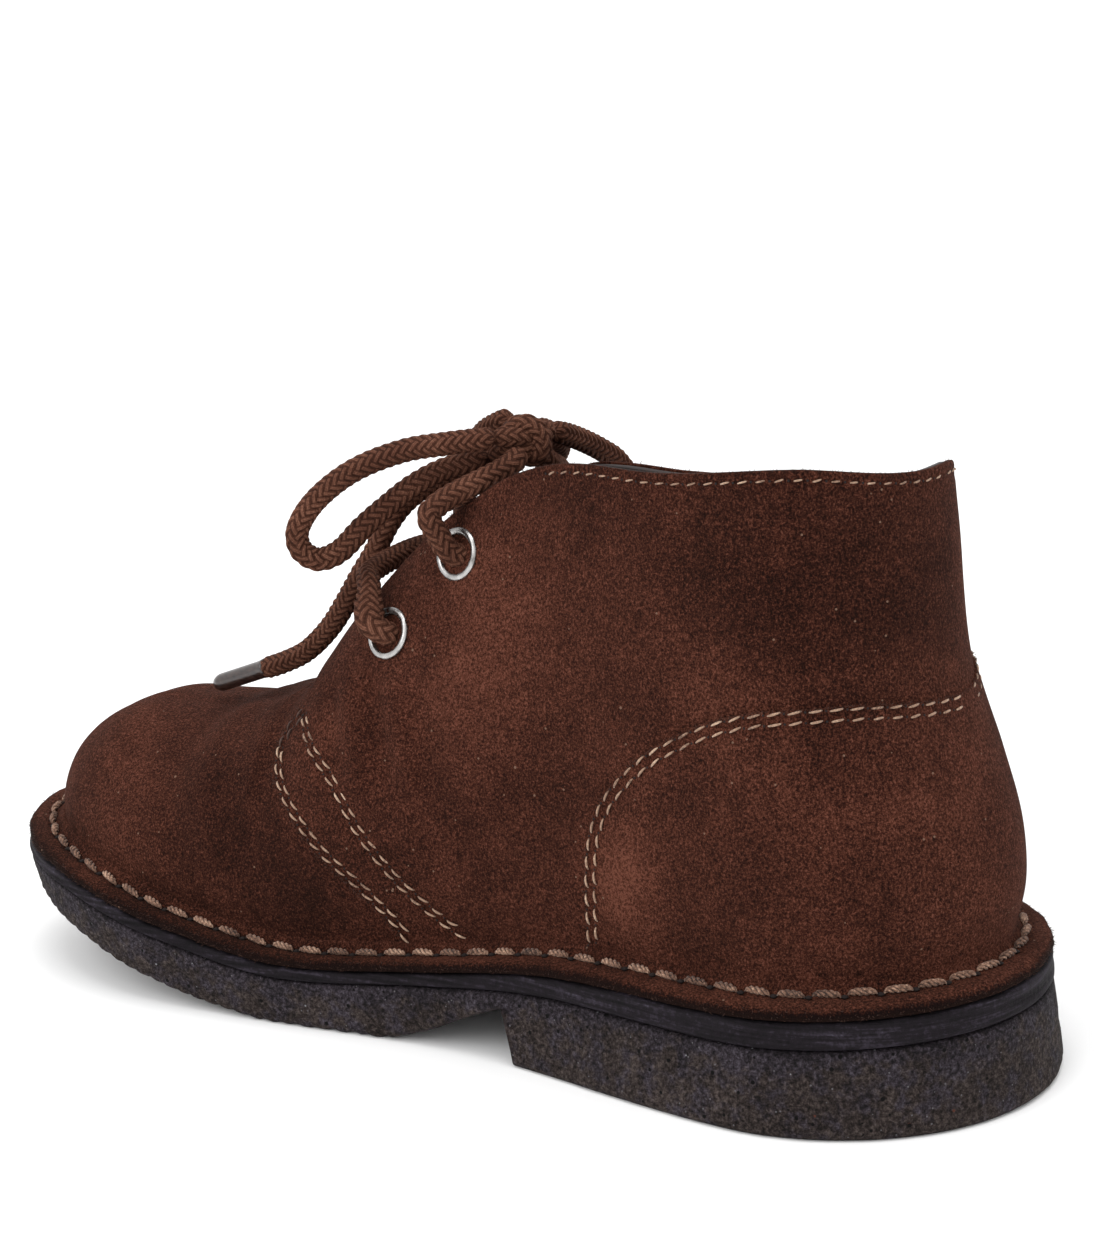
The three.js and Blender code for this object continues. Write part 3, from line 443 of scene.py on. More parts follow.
def wall(share, side, q, lift):
    """Point of the upper's wall: share along the sole, side, share q up the wall, and lift off the vamp's face."""
    share, q, lift = np.broadcast_arrays(np.asarray(share, float), np.asarray(q, float), np.asarray(lift, float))
    inset = FLANGE_WIDTH - lift
    x = along_sole(share, inset)
    at = x / SOLE_LENGTH
    middle = column(OUTLINE, "middle", at)
    foot = np.abs(outline_y(x, side, inset) - middle)
    closed = share >= THROAT_BASE
    tip = quarter_round(SOLE_LENGTH - inset - x, TOE_TOP_ROUND)
    back = quarter_round(x - inset, HEEL_ROUND - inset)
    top = np.maximum(0, column(SECTIONS, "top", share) + np.where(closed, 0, lift)) * back * tip
    drop = column(SECTIONS, "dip", share) * ANKLE_DIP if side < 0 else 0.0
    rise = (column(SECTIONS, "rise", share) - drop + np.where(closed, lift, 0)) * tip
    low, high = column(SECTIONS, "low", share), column(SECTIONS, "high", share)
    belly = foot * (1 + column(SECTIONS, "bulge", share))
    shoulder = top + (foot - top) * column(SECTIONS, "shoulder", share)
    w0, w1, w2, w3 = (1 - q) ** 3, 3 * q * (1 - q) ** 2, 3 * q * q * (1 - q), q ** 3
    half = w0 * foot + w1 * belly + w2 * shoulder + w3 * top
    up = (w1 * low + w2 * high + w3) * rise
    lean = column(BACK_LINE, "lean", up / COLLAR_HEIGHT) * BACK_LEAN
    reach = 1 - np.clip((x - inset) / BACK_LEAN_REACH, 0, 1)
    centre = middle * (1 - up / COLLAR_HEIGHT * np.clip(CENTRE_FADE * (1 - at), 0, 1))
    z = flange_height(x) + flange_drop(x) + up
    return np.stack([x + lean * reach * reach, centre + side * half, z], axis=-1)


def on_wall(side, places, lift=0.7):
    """Shares along and up the wall of places given in side view, as x and z in millimetres."""
    x, z = np.array(places, float).T
    share, q = np.clip((x - 8) / 176, 0.003, 0.997), np.clip((z - 18) / 70, 0.02, 0.98)
    step = 0.002
    for _ in range(24):
        here = wall(share, side, q, lift)
        by_share = (wall(share + step, side, q, lift) - here) / step
        by_q = (wall(share, side, q + step, lift) - here) / step
        miss = np.stack([x - here[:, 0], z - here[:, 2]], -1)
        det = by_share[:, 0] * by_q[:, 2] - by_share[:, 2] * by_q[:, 0]
        det = np.where(np.abs(det) < 20, np.copysign(20, det), det)
        share = np.clip(share + 0.7 * (miss[:, 0] * by_q[:, 2] - miss[:, 1] * by_q[:, 0]) / det, 0.0, 1)
        q = np.clip(q + 0.7 * (by_share[:, 0] * miss[:, 1] - by_share[:, 2] * miss[:, 0]) / det, 0.0, 1)
    return share, q


def smooth_line(places, count):
    """A smooth line through a few places, with evenly spaced points."""
    rows = np.array(places, float)
    along = np.concatenate([[0], np.cumsum(np.linalg.norm(np.diff(rows, axis=0), axis=1))])
    table = {"at": along / along[-1], **{str(k): rows[:, k] for k in range(rows.shape[1])}}
    fine = np.stack([column(table, str(k), np.linspace(0, 1, 8 * count)) for k in range(rows.shape[1])], -1)
    run = np.concatenate([[0], np.cumsum(np.linalg.norm(np.diff(fine, axis=0), axis=1))])
    even = np.linspace(0, run[-1], count)
    return np.stack([np.interp(even, run, fine[:, k]) for k in range(rows.shape[1])], -1)


# Seams and edges in side view: x from the back of the sole and height, in millimetres
QUARTER_EDGE = [(121.0, 53.8), (122.6, 51.2), (124.9, 48.8), (126.0, 44.7), (124.5, 40.1), (119.3, 34.0),
                (114.0, 28.7), (107.4, 23.4), (101.6, 17.5), (99.6, 13.6)]
SECOND_SEAM = [(120.8, 50.6), (117.4, 46.4), (112.3, 41.7), (106.7, 33.4), (99.7, 25.5), (92.3, 19.5), (88.2, 17.2)]
COUNTER_EDGE = [(64.9, 19.6), (64.6, 25.0), (64.4, 32.6), (63.3, 40.3), (59.7, 47.0), (51.6, 54.5), (38.4, 61.0),
                (24.5, 62.8), (12.2, 62.0)]
# Soft troughs and ridges: side, height in millimetres (below nought for a trough), width, and their line
CREASES = [
    (1, -0.8, 2.6, [(105.4, 57.0), (103.4, 51.0), (101.8, 45.5)]),
    (1, 0.7, 2.4, [(101.2, 57.0), (99.6, 50.5), (97.6, 44.0)]),
    (1, 0.65, 2.6, [(110.2, 55.0), (108.6, 49.0), (107.4, 42.0)]),
    (1, -0.6, 2.4, [(113.6, 54.5), (112.2, 50.0), (110.6, 45.0)]),
    (1, -0.35, 3.0, [(95.6, 56.0), (94.4, 49.0), (92.6, 41.0)]),
    (1, -0.5, 8.0, [(62.0, 63.0), (66.0, 50.0), (70.0, 40.0)]),
    (1, 0.5, 9.0, [(84.0, 70.0), (86.0, 56.0), (86.0, 44.0)]),
    (1, -0.45, 7.0, [(56.0, 84.0), (40.0, 86.0), (26.0, 82.0)]),
    (-1, -0.5, 3.0, [(106.0, 57.0), (103.0, 50.0), (101.0, 42.0)]),
    (-1, 0.4, 3.2, [(112.0, 54.0), (109.0, 46.0), (107.0, 38.0)]),
    (-1, -0.5, 8.0, [(70.0, 62.0), (72.0, 48.0), (76.0, 36.0)]),
    (-1, 0.4, 9.0, [(46.0, 74.0), (52.0, 60.0), (56.0, 48.0)]),
    (0, -0.3, 3.4, [(137.0, 48.5), (134.5, 40.0), (131.0, 29.0)]),
    (0, 0.25, 3.2, [(143.0, 47.0), (141.0, 38.0), (137.0, 27.0)]),
    (0, -0.22, 3.0, [(149.5, 45.5), (147.0, 37.0), (143.0, 26.0)]),
]


def line_distance(places, line):
    """Distance in side view from places to a line of points."""
    best = np.full(places.shape[:-1], 1e9)
    rows = np.array(line, float)
    flat = places[..., [0, 2]]
    for a, b in zip(rows[:-1], rows[1:]):
        along = b - a
        t = np.clip(((flat - a) @ along) / (along @ along), 0, 1)
        best = np.minimum(best, np.linalg.norm(flat - (a + t[..., None] * along), axis=-1))
    return best


def wear(places, side, seams):
    """How far creases, soft unevenness and pulled seams raise the leather, in millimetres."""
    height = 0.3 * rough(places, 26.0, 3.0) + 0.1 * rough(places, 8.0, 11.0)
    for crease_side, rise, width, line in CREASES:
        if crease_side in (0, side):
            height = height + rise * np.exp(-(line_distance(places, smooth_line(line, 10)) / width) ** 2)
    for seam in seams:
        height = height - 0.22 * np.exp(-(line_distance(places, seam) / 1.1) ** 2)
    return height


# Darker and lighter places, partly the nap's own tone and partly painted light and shade:
# side, amount, radius, x and height
NAP_AND_LIGHT_PATCHES = [
    (1, 0.08, 17, 86, 62), (1, 0.05, 12, 70, 78), (1, 0.3, 9, 58, 35), (1, 0.07, 13, 156, 30),
    (1, 0.09, 4, 111, 50), (1, -0.08, 4, 104, 51), (1, 0.08, 4, 100, 46), (0, 0.09, 18, 168, 44),
    (1, 0.05, 12, 116, 46), (1, -0.11, 16, 52, 84), (1, -0.16, 16, 18, 82),
    (1, -0.1, 12, 109, 19), (1, -0.06, 12, 120, 26), (0, 0.03, 13, 3, 38), (1, -0.06, 12, 62, 60), (1, -0.05, 16, 32, 38),
    (1, -0.06, 11, 69, 41), (-1, 0.08, 16, 90, 60), (-1, -0.08, 16, 50, 78), (-1, 0.06, 14, 150, 30),
    (-1, -0.08, 14, 116, 26), (-1, 0.06, 12, 58, 38), (0, -0.1, 40, 146, 34), (1, -0.07, 20, 84, 28),
]


def nap_and_light_tone(points):
    """How light each point is from the patches: the nap's brushed tone and painted light and shade."""
    tone = np.zeros(len(points))
    for side, amount, radius, x, z in NAP_AND_LIGHT_PATCHES:
        near = np.exp(-(((points[:, 0] - x) ** 2 + (points[:, 2] - z) ** 2) / radius ** 2))
        fits = np.clip(0.5 + side * (points[:, 1] - 1) / 12, 0, 1) if side else 1.0
        tone += amount * near * fits
    return tone


def suede_finish(name, stops, sheen):
    """Brushed suede: soft blotches, brushed patches, fine nap and a few pale fibres."""
    material, tree, shader = new_finish(
        name, 0.95, Specular_IOR_Level=0.06, Sheen_Weight=sheen, Sheen_Roughness=0.5,
        Sheen_Tint=(0.55, 0.27, 0.18, 1),
    )
    tone = tree.nodes.new("ShaderNodeAttribute")
    tone.attribute_name = "tone"
    blotch = grain(tree, 52, 4.0, 0.6, distortion=0.6)
    brushed = grain(tree, 420, 3.0, 0.6, stretch=(1, 1, 0.8), distortion=0.6)
    fibre = grain(tree, 2600, 3.0, 0.75, stretch=(1, 1, 0.85), distortion=0.3)
    fine = grain(tree, 4600, 3.0, 0.8)
    value = sums(tree, "MULTIPLY_ADD", blotch, 0.55, sums(tree, "MULTIPLY", brushed, 0.25))
    value = sums(tree, "MULTIPLY_ADD", fibre, 1.9, value)
    value = sums(tree, "MULTIPLY_ADD", fine, 1.3, value)
    # The tone adds the patches: nap tone together with painted light and shade.
    value = sums(tree, "ADD", value, sums(tree, "SUBTRACT", tone.outputs["Fac"], 1.485))
    colour = shades(tree, value, stops)
    for per_metre, reach, share in ((300, 0.07, 0.05), (900, 0.16, 0.03)):
        distance, pick = cells(tree, per_metre)
        lint = sums(tree, "MULTIPLY", sums(tree, "LESS_THAN", distance, reach), sums(tree, "LESS_THAN", pick, share))
        colour = blended(tree, lint, colour, (0.22, 0.13, 0.09))
    tree.links.new(colour, shader.inputs["Base Color"])
    relief(tree, shader, sums(tree, "MULTIPLY_ADD", fibre, 0.7, sums(tree, "MULTIPLY", fine, 0.5)), 0.8, 1.0)
    return material


SUEDE_STOPS = [
    (0.14, (0.008, 0.0023, 0.0014)), (0.36, (0.029, 0.0085, 0.0051)), (0.5, (0.055, 0.0163, 0.0096)),
    (0.66, (0.1, 0.0315, 0.0188)), (0.9, (0.19, 0.067, 0.042)),
]
suede = suede_finish("brown_suede", SUEDE_STOPS, 0.06)


def shell(name, outer, inner, faces, finishes, slot):
    """Closed panel from matching outer and inner points; the edges between them are closed."""
    keys = {}
    place = np.empty(len(outer), int)
    for i, p in enumerate(np.round(outer, 4)):
        place[i] = keys.setdefault((p[0], p[1], p[2]), i)
    top = [[int(place[v]) for v in face] for face in faces]
    top = [[v for k, v in enumerate(face) if v != face[k - 1]] for face in top]
    top = [face for face in top if len(face) > 2]
    edges = {}
    for face in top:
        for a, b in zip(face, face[1:] + face[:1]):
            edges[(min(a, b), max(a, b))] = None if (min(a, b), max(a, b)) in edges else (a, b)
    n = len(outer)
    whole = top + [[v + n for v in reversed(face)] for face in top]
    whole += [[b, a, a + n, b + n] for a, b in (edge for edge in edges.values() if edge)]
    used = sorted({v for face in whole for v in face})
    number = {v: i for i, v in enumerate(used)}
    points = np.concatenate([outer, inner])[used]
    piece = raise_piece(name, points, [[number[v] for v in face] for face in whole], finishes, slot)
    tone = piece.data.attributes.new("tone", "FLOAT", "POINT")
    tone.data.foreach_set("value", nap_and_light_tone(sole_points(piece)))
    return piece


def edge_round(count, edge, size):
    """Shares from 0 to 1 with extra ones close to both ends, and how far each is rounded down."""
    t = np.linspace(0, 1, count)
    t = np.sort(np.concatenate([t, [edge, 2.2 * edge, 1 - edge, 1 - 2.2 * edge]]))
    fall = size * (np.maximum(0, 1 - t / (2 * edge)) ** 2 + np.maximum(0, 1 - (1 - t) / (2 * edge)) ** 2)
    return t, fall


def foot_fade(q, foot, full):
    """Lift that grows from the flange up to its full height."""
    return foot + (full - foot) * (1 - np.exp(-(q / 0.09) ** 2))


# The vamp wraps the toe, runs back under both quarters and closes over the foot ahead of the throat
VAMP_ROWS, VAMP_COLUMNS, CAP_COLUMNS = 150, 76, 12
VAMP_BACK_SHARE = 0.56
edge_places = smooth_line(QUARTER_EDGE, 60)
vamp_outer, vamp_inner, vamp_faces = [], [], []
seam_lines = {side: [smooth_line(QUARTER_EDGE, 30)] for side in (1, -1)}
for side in (1, -1):
    edge_share, edge_q = on_wall(side, edge_places)
    order = np.argsort(edge_q)
    q = np.linspace(0, 1, VAMP_COLUMNS)
    back = np.interp(q, edge_q[order], edge_share[order]) - 0.05
    back_rows = 34
    ahead = THROAT_BASE + (1 - THROAT_BASE) * np.sin(np.pi / 2 * np.linspace(0, 1, VAMP_ROWS - back_rows))
    share = np.concatenate([
        back[None, :] + (THROAT_BASE - back[None, :]) * (np.arange(back_rows) / back_rows)[:, None],
        np.repeat(ahead[:, None], VAMP_COLUMNS, 1),
    ])
    qq = np.repeat(q[None, :], VAMP_ROWS, 0)
    plain = wall(share, side, qq, 0.0)
    fade = np.clip((1.0 - share) / 0.03, 0, 1) * np.clip(qq / 0.06, 0, 1)
    lift = wear(plain, side, []) * fade + foot_fade(qq, -0.2, 0.0)
    start = sum(len(part) for part in vamp_outer)
    vamp_outer.append(wall(share, side, qq, lift).reshape(-1, 3))
    vamp_inner.append(wall(share, side, qq, -0.85).reshape(-1, 3))
    vamp_faces += grid_faces(VAMP_ROWS, VAMP_COLUMNS, start=start)
rim = VAMP_COLUMNS - 1
rows = np.arange(34, VAMP_ROWS)
for parts in (vamp_outer, vamp_inner):
    near = parts[0].reshape(VAMP_ROWS, VAMP_COLUMNS, 3)[rows, rim]
    far = parts[1].reshape(VAMP_ROWS, VAMP_COLUMNS, 3)[rows, rim]
    t = np.linspace(0, 1, CAP_COLUMNS)[None, :, None]
    crown = 0.045 * np.linalg.norm(near - far, axis=-1)[:, None] * (4 * t[..., 0] * (1 - t[..., 0]))
    cap = near[:, None] + (far - near)[:, None] * t
    cap[..., 2] += crown
    parts.append(cap.reshape(-1, 3))
start = 2 * VAMP_ROWS * VAMP_COLUMNS
vamp_faces += grid_faces(len(rows), CAP_COLUMNS, start=start)
vamp = shell("vamp", np.concatenate(vamp_outer), np.concatenate(vamp_inner), vamp_faces, [suede], "suede")
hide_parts("upper")

# Each quarter runs from the heel to its front edge, and from the flange to the collar and the throat
QUARTER_COLUMNS, QUARTER_ROWS = 96, 190
COLLAR_SEAM_DROP = 1.5
EYELETS = [("lower", 0.547, 0.705), ("upper", 0.477, 0.84)]
EYELET_HOLE = 3.0
for side, label in ((1, "inner"), (-1, "outer")):
    edge_share, edge_q = on_wall(side, edge_places)
    order = np.argsort(edge_q)
    q, fall_q = edge_round(QUARTER_COLUMNS, 0.004, 0.25)
    front = np.interp(q, edge_q[order], edge_share[order])
    t, fall_t = edge_round(QUARTER_ROWS, 0.0016, 0.32)
    bend = (1 - np.cos(np.pi * np.clip(t * 0.56, 0, 1))) / (1 - math.cos(math.pi * 0.56))
    share = bend[:, None] * front[None, :]
    qq = np.repeat(q[None, :], len(t), 0)
    plain = wall(share, side, qq, 0.7)
    fade = np.clip(share / 0.03, 0, 1) * np.clip(qq / 0.06, 0, 1) * np.clip((1 - qq) / 0.05, 0.2, 1)
    seams = [smooth_line(SECOND_SEAM, 30), smooth_line(COUNTER_EDGE, 30)]
    seams.append(smooth_line([(x - 1.7, z + 0.2) for x, z in QUARTER_EDGE], 30))
    lift = foot_fade(qq, 0.1, 0.62) + wear(plain, side, seams) * fade
    lift = lift - fall_q[None, :] * (qq > 0.5) - fall_t[:, None] * (share > 0.4)
    collar = np.clip((qq - 0.965) / 0.02, 0, 1) * (share < 0.4)
    lift = lift - 0.12 * np.exp(-((qq - 0.972) / 0.009) ** 2) * (share < 0.42)
    piece = shell(
        f"quarter_{label}", wall(share, side, qq, lift).reshape(-1, 3), wall(share, side, qq, -0.3).reshape(-1, 3),
        grid_faces(*share.shape), [suede], "suede",
    )
    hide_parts("upper")

# The counter is a lapped pocket round the heel, sewn over both quarters
COUNTER_ROWS, COUNTER_COLUMNS = 90, 56
COUNTER_BACK, BACK_STEPS = 0.554, 30


def to_back_line(share, q, climb):
    """Carries a line on the wall on to the back line, climbing a little on the way."""
    t = np.linspace(0, 1, BACK_STEPS + 1)[1:]
    ease = t * t * (3 - 2 * t)
    return np.append(share, share[-1] * (1 - t) ** 2), np.append(q, q[-1] + climb * ease)


def counter_edge(side):
    """The counter's edge as shares along and up the wall, from the flange to the back line."""
    line = smooth_line(COUNTER_EDGE, 160)
    line = line[line[:, 0] > 21]
    share, q = on_wall(side, line, 1.1)
    return to_back_line(share, q, COUNTER_BACK - q[-1])


halves = []
for side in (-1, 1):
    edge_share, edge_q = counter_edge(side)
    edge_length = len(edge_share)
    corner = int(np.argmax(edge_share < 0.285))
    s, fall_s = edge_round(COUNTER_ROWS, 0.006, 0.22)
    t, fall_t = edge_round(COUNTER_COLUMNS, 0.006, 0.22)
    s_bent = np.sqrt(s) * 0.5 + s * 0.5
    front = np.stack([np.interp(t, np.linspace(0, 1, corner + 1), values[:corner + 1]) for values in (edge_share, edge_q)], -1)
    crest = np.stack([np.interp(s, np.linspace(0, 1, edge_length - corner), values[corner:][::-1]) for values in (edge_share, edge_q)], -1)
    foot_line = np.stack([s ** 1.5 * edge_share[0], 0 * s], -1)
    crest_share = s ** 1.5 * crest[-1, 0]
    crest_q = np.interp(crest_share, crest[:, 0], crest[:, 1])
    crest = np.stack([crest_share, crest_q], -1)
    back = np.stack([0 * t, t * edge_q[-1]], -1)
    s_, t_ = s[:, None, None], t[None, :, None]
    blend_s = s_ ** 1.5
    patch = (1 - t_) * foot_line[:, None] + t_ * crest[:, None] + (1 - blend_s) * back[None] + blend_s * front[None]
    patch = patch - ((1 - blend_s) * (1 - t_) * foot_line[0] + blend_s * (1 - t_) * foot_line[-1]
                     + (1 - blend_s) * t_ * crest[0] + blend_s * t_ * crest[-1])
    share, qq = np.clip(patch[..., 0], 0, 1), np.clip(patch[..., 1], 0, 1)
    plain = wall(share, side, qq, 1.2)
    inner_rows = [smooth_line([(x - 1.9, z - 0.6) for x, z in COUNTER_EDGE], 30)]
    fade = np.clip(share / 0.03, 0, 1) * np.clip(qq / 0.06, 0, 1)
    lift = foot_fade(qq, 0.3, 1.1) + wear(plain, side, inner_rows) * fade
    lift = lift - fall_t[None, :] * (t > 0.5)[None, :] - fall_s[:, None] * (s > 0.5)[:, None]
    halves.append((wall(share, side, qq, lift), wall(share, side, qq, 0.35)))
outer = np.concatenate([halves[0][0][::-1], halves[1][0][1:]])
inner = np.concatenate([halves[0][1][::-1], halves[1][1][1:]])
counter = shell(
    "heel_counter", outer.reshape(-1, 3), inner.reshape(-1, 3), grid_faces(*outer.shape[:2]), [suede], "suede",
)
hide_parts("upper")

# Flange. The foot of the suede is turned outwards and stitched down through the runner, which leaves a soft
# cut edge all round, pulled down at each needle hole.
STITCH_INSET, STITCH_COUNT = 4.1, 82
FLANGE_PROFILE = [  # inset, height
    (7.6, 0.9), (6.6, 1.7), (5.9, 1.5), (5.45, 0.95), (5.05, 0.5), (4.6, 0.2), (4.1, 0.06), (3.6, 0.02), (3.0, 0.08),
    (2.4, 0.14), (1.8, 0.16), (1.2, 0.12), (0.7, 0.02), (0.3, -0.16), (0.08, -0.42), (0.0, -0.75), (0.06, -1.1),
    (0.25, -1.4), (0.6, -1.58), (3.0, -1.6), (7.6, -1.6),
]


def ring(inset, count):
    """Points round the whole sole at one inset, from the heel along the inner side and back along the outer."""
    shares = round_shares(count)
    x = along_sole(shares, inset)
    inner = np.stack([x, outline_y(x, 1, inset)], -1)
    outer = np.stack([x, outline_y(x, -1, inset)], -1)
    return np.concatenate([inner, outer[-2:0:-1]])


RING = 400
flange_rows = []
for inset, height in FLANGE_PROFILE:
    flat = ring(inset, RING)
    x = flat[:, 0]
    sink = flange_drop(x) * min(1.0, inset / 6) ** 0.8
    flat_z = flange_height(x) + (sink if height > -0.3 else 0) + height
    flange_rows.append(np.column_stack([flat, flat_z]))
flange = np.array(flange_rows).transpose(1, 0, 2)
seam_path = flange[:, 6].copy()
seam_run = np.concatenate([[0], np.cumsum(np.linalg.norm(np.diff(seam_path, axis=0, append=seam_path[:1]), axis=1))])
STITCH_PITCH = seam_run[-1] / STITCH_COUNT
phase = (seam_run[:-1] / STITCH_PITCH) % 1.0
hole = np.exp(-(np.minimum(phase, 1 - phase) * STITCH_PITCH / 0.75) ** 2)
outward = flange[:, 15, :2] - flange[:, 5, :2]
outward /= np.linalg.norm(outward, axis=1)[:, None]
ragged = 0.16 * rough(flange[:, 15], 5.0, 2.0) + 0.1 * rough(flange[:, 15], 1.4, 5.0) - 0.12
wavy = 0.22 * rough(flange[:, 15], 14.0, 9.0)
for k, (inset, height) in enumerate(FLANGE_PROFILE[:18]):
    if inset < 6:
        groove = math.exp(-((inset - STITCH_INSET) / 0.7) ** 2)
        flange[:, k, 2] -= groove * (0.12 + 0.5 * hole)
        outer_share = max(0.0, 1 - inset / 3.2)
        flange[:, k, 2] += wavy * outer_share * (1 if height > -0.9 else 0.3)
        flange[:, k, :2] += outward * (ragged * max(0.0, 1 - inset / 1.4))[:, None]
flange_points = flange.reshape(-1, 3)
flange_suede = suede_finish("flange_suede", [
    (0.14, (0.005, 0.002, 0.002)), (0.36, (0.024, 0.0075, 0.0048)), (0.5, (0.053, 0.0162, 0.0097)),
    (0.66, (0.095, 0.03, 0.018)), (0.9, (0.17, 0.06, 0.038)),
], 0.06)
piece = raise_piece(
    "turned_out_flange", flange_points, grid_faces(*flange.shape[:2], around=True, looped=True), [flange_suede],
    "suede",
)
tone = piece.data.attributes.new("tone", "FLOAT", "POINT")
co = sole_points(piece)
edge_dark = np.clip((flange_height(co[:, 0]) + 0.3 - co[:, 2]) / 1.1, 0, 1)
tone.data.foreach_set("value", 0.02 + 0.5 * nap_and_light_tone(co) - 0.65 * edge_dark)
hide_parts("upper")


# Flange stitches. Waxed natural thread of three plies, sewn in long stitches that sink into their holes.
def thread_finish(name, stops):
    material, tree, shader = new_finish(name, 0.75, Specular_IOR_Level=0.3, Sheen_Weight=0.15)
    value = sums(tree, "MULTIPLY_ADD", grain(tree, 2600, 3.0, 0.7), 0.6, sums(tree, "MULTIPLY", grain(tree, 150, 2.0), 0.4))
    tree.links.new(shades(tree, value, stops), shader.inputs["Base Color"])
    relief(tree, shader, value, 0.15, 0.8)
    return material


def tube(path, radius, sides, turn=None):
    """Points and faces of a closed tube along a path; radius may change along it."""
    path = np.asarray(path)
    way = np.gradient(path, axis=0)
    way /= np.linalg.norm(way, axis=1)[:, None]
    normal = np.cross(way[0], (0.13, 0.29, 0.95))
    frames = []
    for k in range(len(path)):
        normal = normal - way[k] * (normal @ way[k])
        normal /= np.linalg.norm(normal)
        frames.append((normal, np.cross(way[k], normal)))
    angle = 2 * np.pi * np.arange(sides) / sides
    radius = np.broadcast_to(np.asarray(radius, float), (len(path), sides) if np.ndim(radius) == 2 else len(path))
    if radius.ndim == 1:
        radius = np.repeat(radius[:, None], sides, 1)
    a = np.array([f[0] for f in frames])[:, None, :]
    b = np.array([f[1] for f in frames])[:, None, :]
    turned = angle[None, :, None]
    points = path[:, None, :] + radius[..., None] * (a * np.cos(turned) + b * np.sin(turned))
    count = len(path)
    faces = grid_faces(count, sides, around=True)
    points = np.concatenate([points.reshape(-1, 3), path[:1], path[-1:]])
    first, last = count * sides, count * sides + 1
    faces += [[(k + 1) % sides, k, first] for k in range(sides)]
    faces += [[(count - 1) * sides + k, (count - 1) * sides + (k + 1) % sides, last] for k in range(sides)]
    return points, faces


def gather(parts):
    """One set of points and faces from several."""
    points, faces, start = [], [], 0
    for part_points, part_faces in parts:
        points.append(part_points)
        faces += [[v + start for v in face] for face in part_faces]
        start += len(part_points)
    return np.concatenate(points), faces


def shaded_needle_hole(centre, out, radius, depth, brim=0.08):
    """Small hollow where a needle went through, with its raised brim; its near-black finish is painted shade."""
    side_way = np.cross(out, (0.1, 0.2, 0.9))
    side_way /= np.linalg.norm(side_way)
    other = np.cross(out, side_way)
    angle = 2 * np.pi * np.arange(8) / 8
    rim_points = centre + radius * (np.outer(np.cos(angle), side_way) + np.outer(np.sin(angle), other)) + 0.02 * out
    points = np.concatenate([rim_points, [centre + brim * out], [centre - depth * out]])
    return points, [[k, (k + 1) % 8, 8] for k in range(8)] + [[(k + 1) % 8, k, 9] for k in range(8)]


PLY_RADIUS, PLY_SPREAD, STITCH_SHARE = 0.25, 0.36, 0.8
random.seed(7)
parts, flange_holes = [], []
closed_path = np.concatenate([seam_path, seam_path[:1]])
for number in range(STITCH_COUNT):
    start = (number + 0.5 * (1 - STITCH_SHARE)) * STITCH_PITCH
    t = np.linspace(0, 1, 21)
    run = start + t * STITCH_SHARE * STITCH_PITCH
    line = np.stack([np.interp(run, seam_run, closed_path[:, k]) for k in range(3)], -1)
    way = line[-1] - line[0]
    way /= np.linalg.norm(way)
    side_way = np.cross((0, 0, 1), way)
    body = 1 - np.abs(2 * t - 1) ** 3.4
    height = 0.26 + 0.1 * body - 0.35 * np.abs(2 * t - 1) ** 10 + random.uniform(-0.06, 0.06)
    shift = random.uniform(-0.15, 0.15) + (random.uniform(-0.25, 0.25) - 0.5) * (t - 0.5)
    twist = random.uniform(0, 2 * math.pi)
    for ply in range(3):
        angle = twist + 2 * math.pi * ply / 3 + t * 2 * math.pi * 1.5
        spread = PLY_SPREAD * (0.2 + 0.8 * body)
        path = line + np.outer(height + spread * np.sin(angle), (0, 0, 1))
        path += np.outer(shift + spread * np.cos(angle) * 1.2, side_way)
        parts.append(tube(path, PLY_RADIUS * (0.35 + 0.65 * body), 8))
    hole_place = np.array([np.interp(number * STITCH_PITCH, seam_run, closed_path[:, k]) for k in range(3)])
    flange_holes.append(shaded_needle_hole(hole_place - (0, 0, 0.2), np.array([0.0, 0.0, 1.0]), 0.62, 0.5, 0.36))
points, faces = gather(parts)
flange_thread = thread_finish("natural_thread", [
    (0.38, (0.035, 0.015, 0.009)), (0.5, (0.19, 0.1, 0.064)), (0.62, (0.46, 0.29, 0.2)),
])
raise_piece("flange_stitches", points, faces, [flange_thread], "suede")
# Near-black finish for the needle holes: painted shade inside them.
hole_shade_finish = new_finish("shaded_needle_hole", 0.95, (0.009, 0.0035, 0.0025))[0]
raise_piece("flange_hole_shades", *gather(flange_holes), [hole_shade_finish], "suede")

# Panel stitches. Fine two-ply thread in double rows along the quarters' front, behind it and round the
# counter, and in one row under the collar, each stitch between two needle holes.
FINE_PITCH, FINE_LENGTH, FINE_RADIUS = 3.05, 1.95, 0.19


def wall_out(side, share, q, lift):
    """Way straight out of the wall at places on it."""
    along = wall(share + 0.003, side, q, lift) - wall(share - 0.003, side, q, lift)
    upward = wall(share, side, np.minimum(q + 0.01, 1.02), lift) - wall(share, side, q - 0.01, lift)
    normal = np.cross(along, upward) * -side
    return normal / np.linalg.norm(normal, axis=1)[:, None]


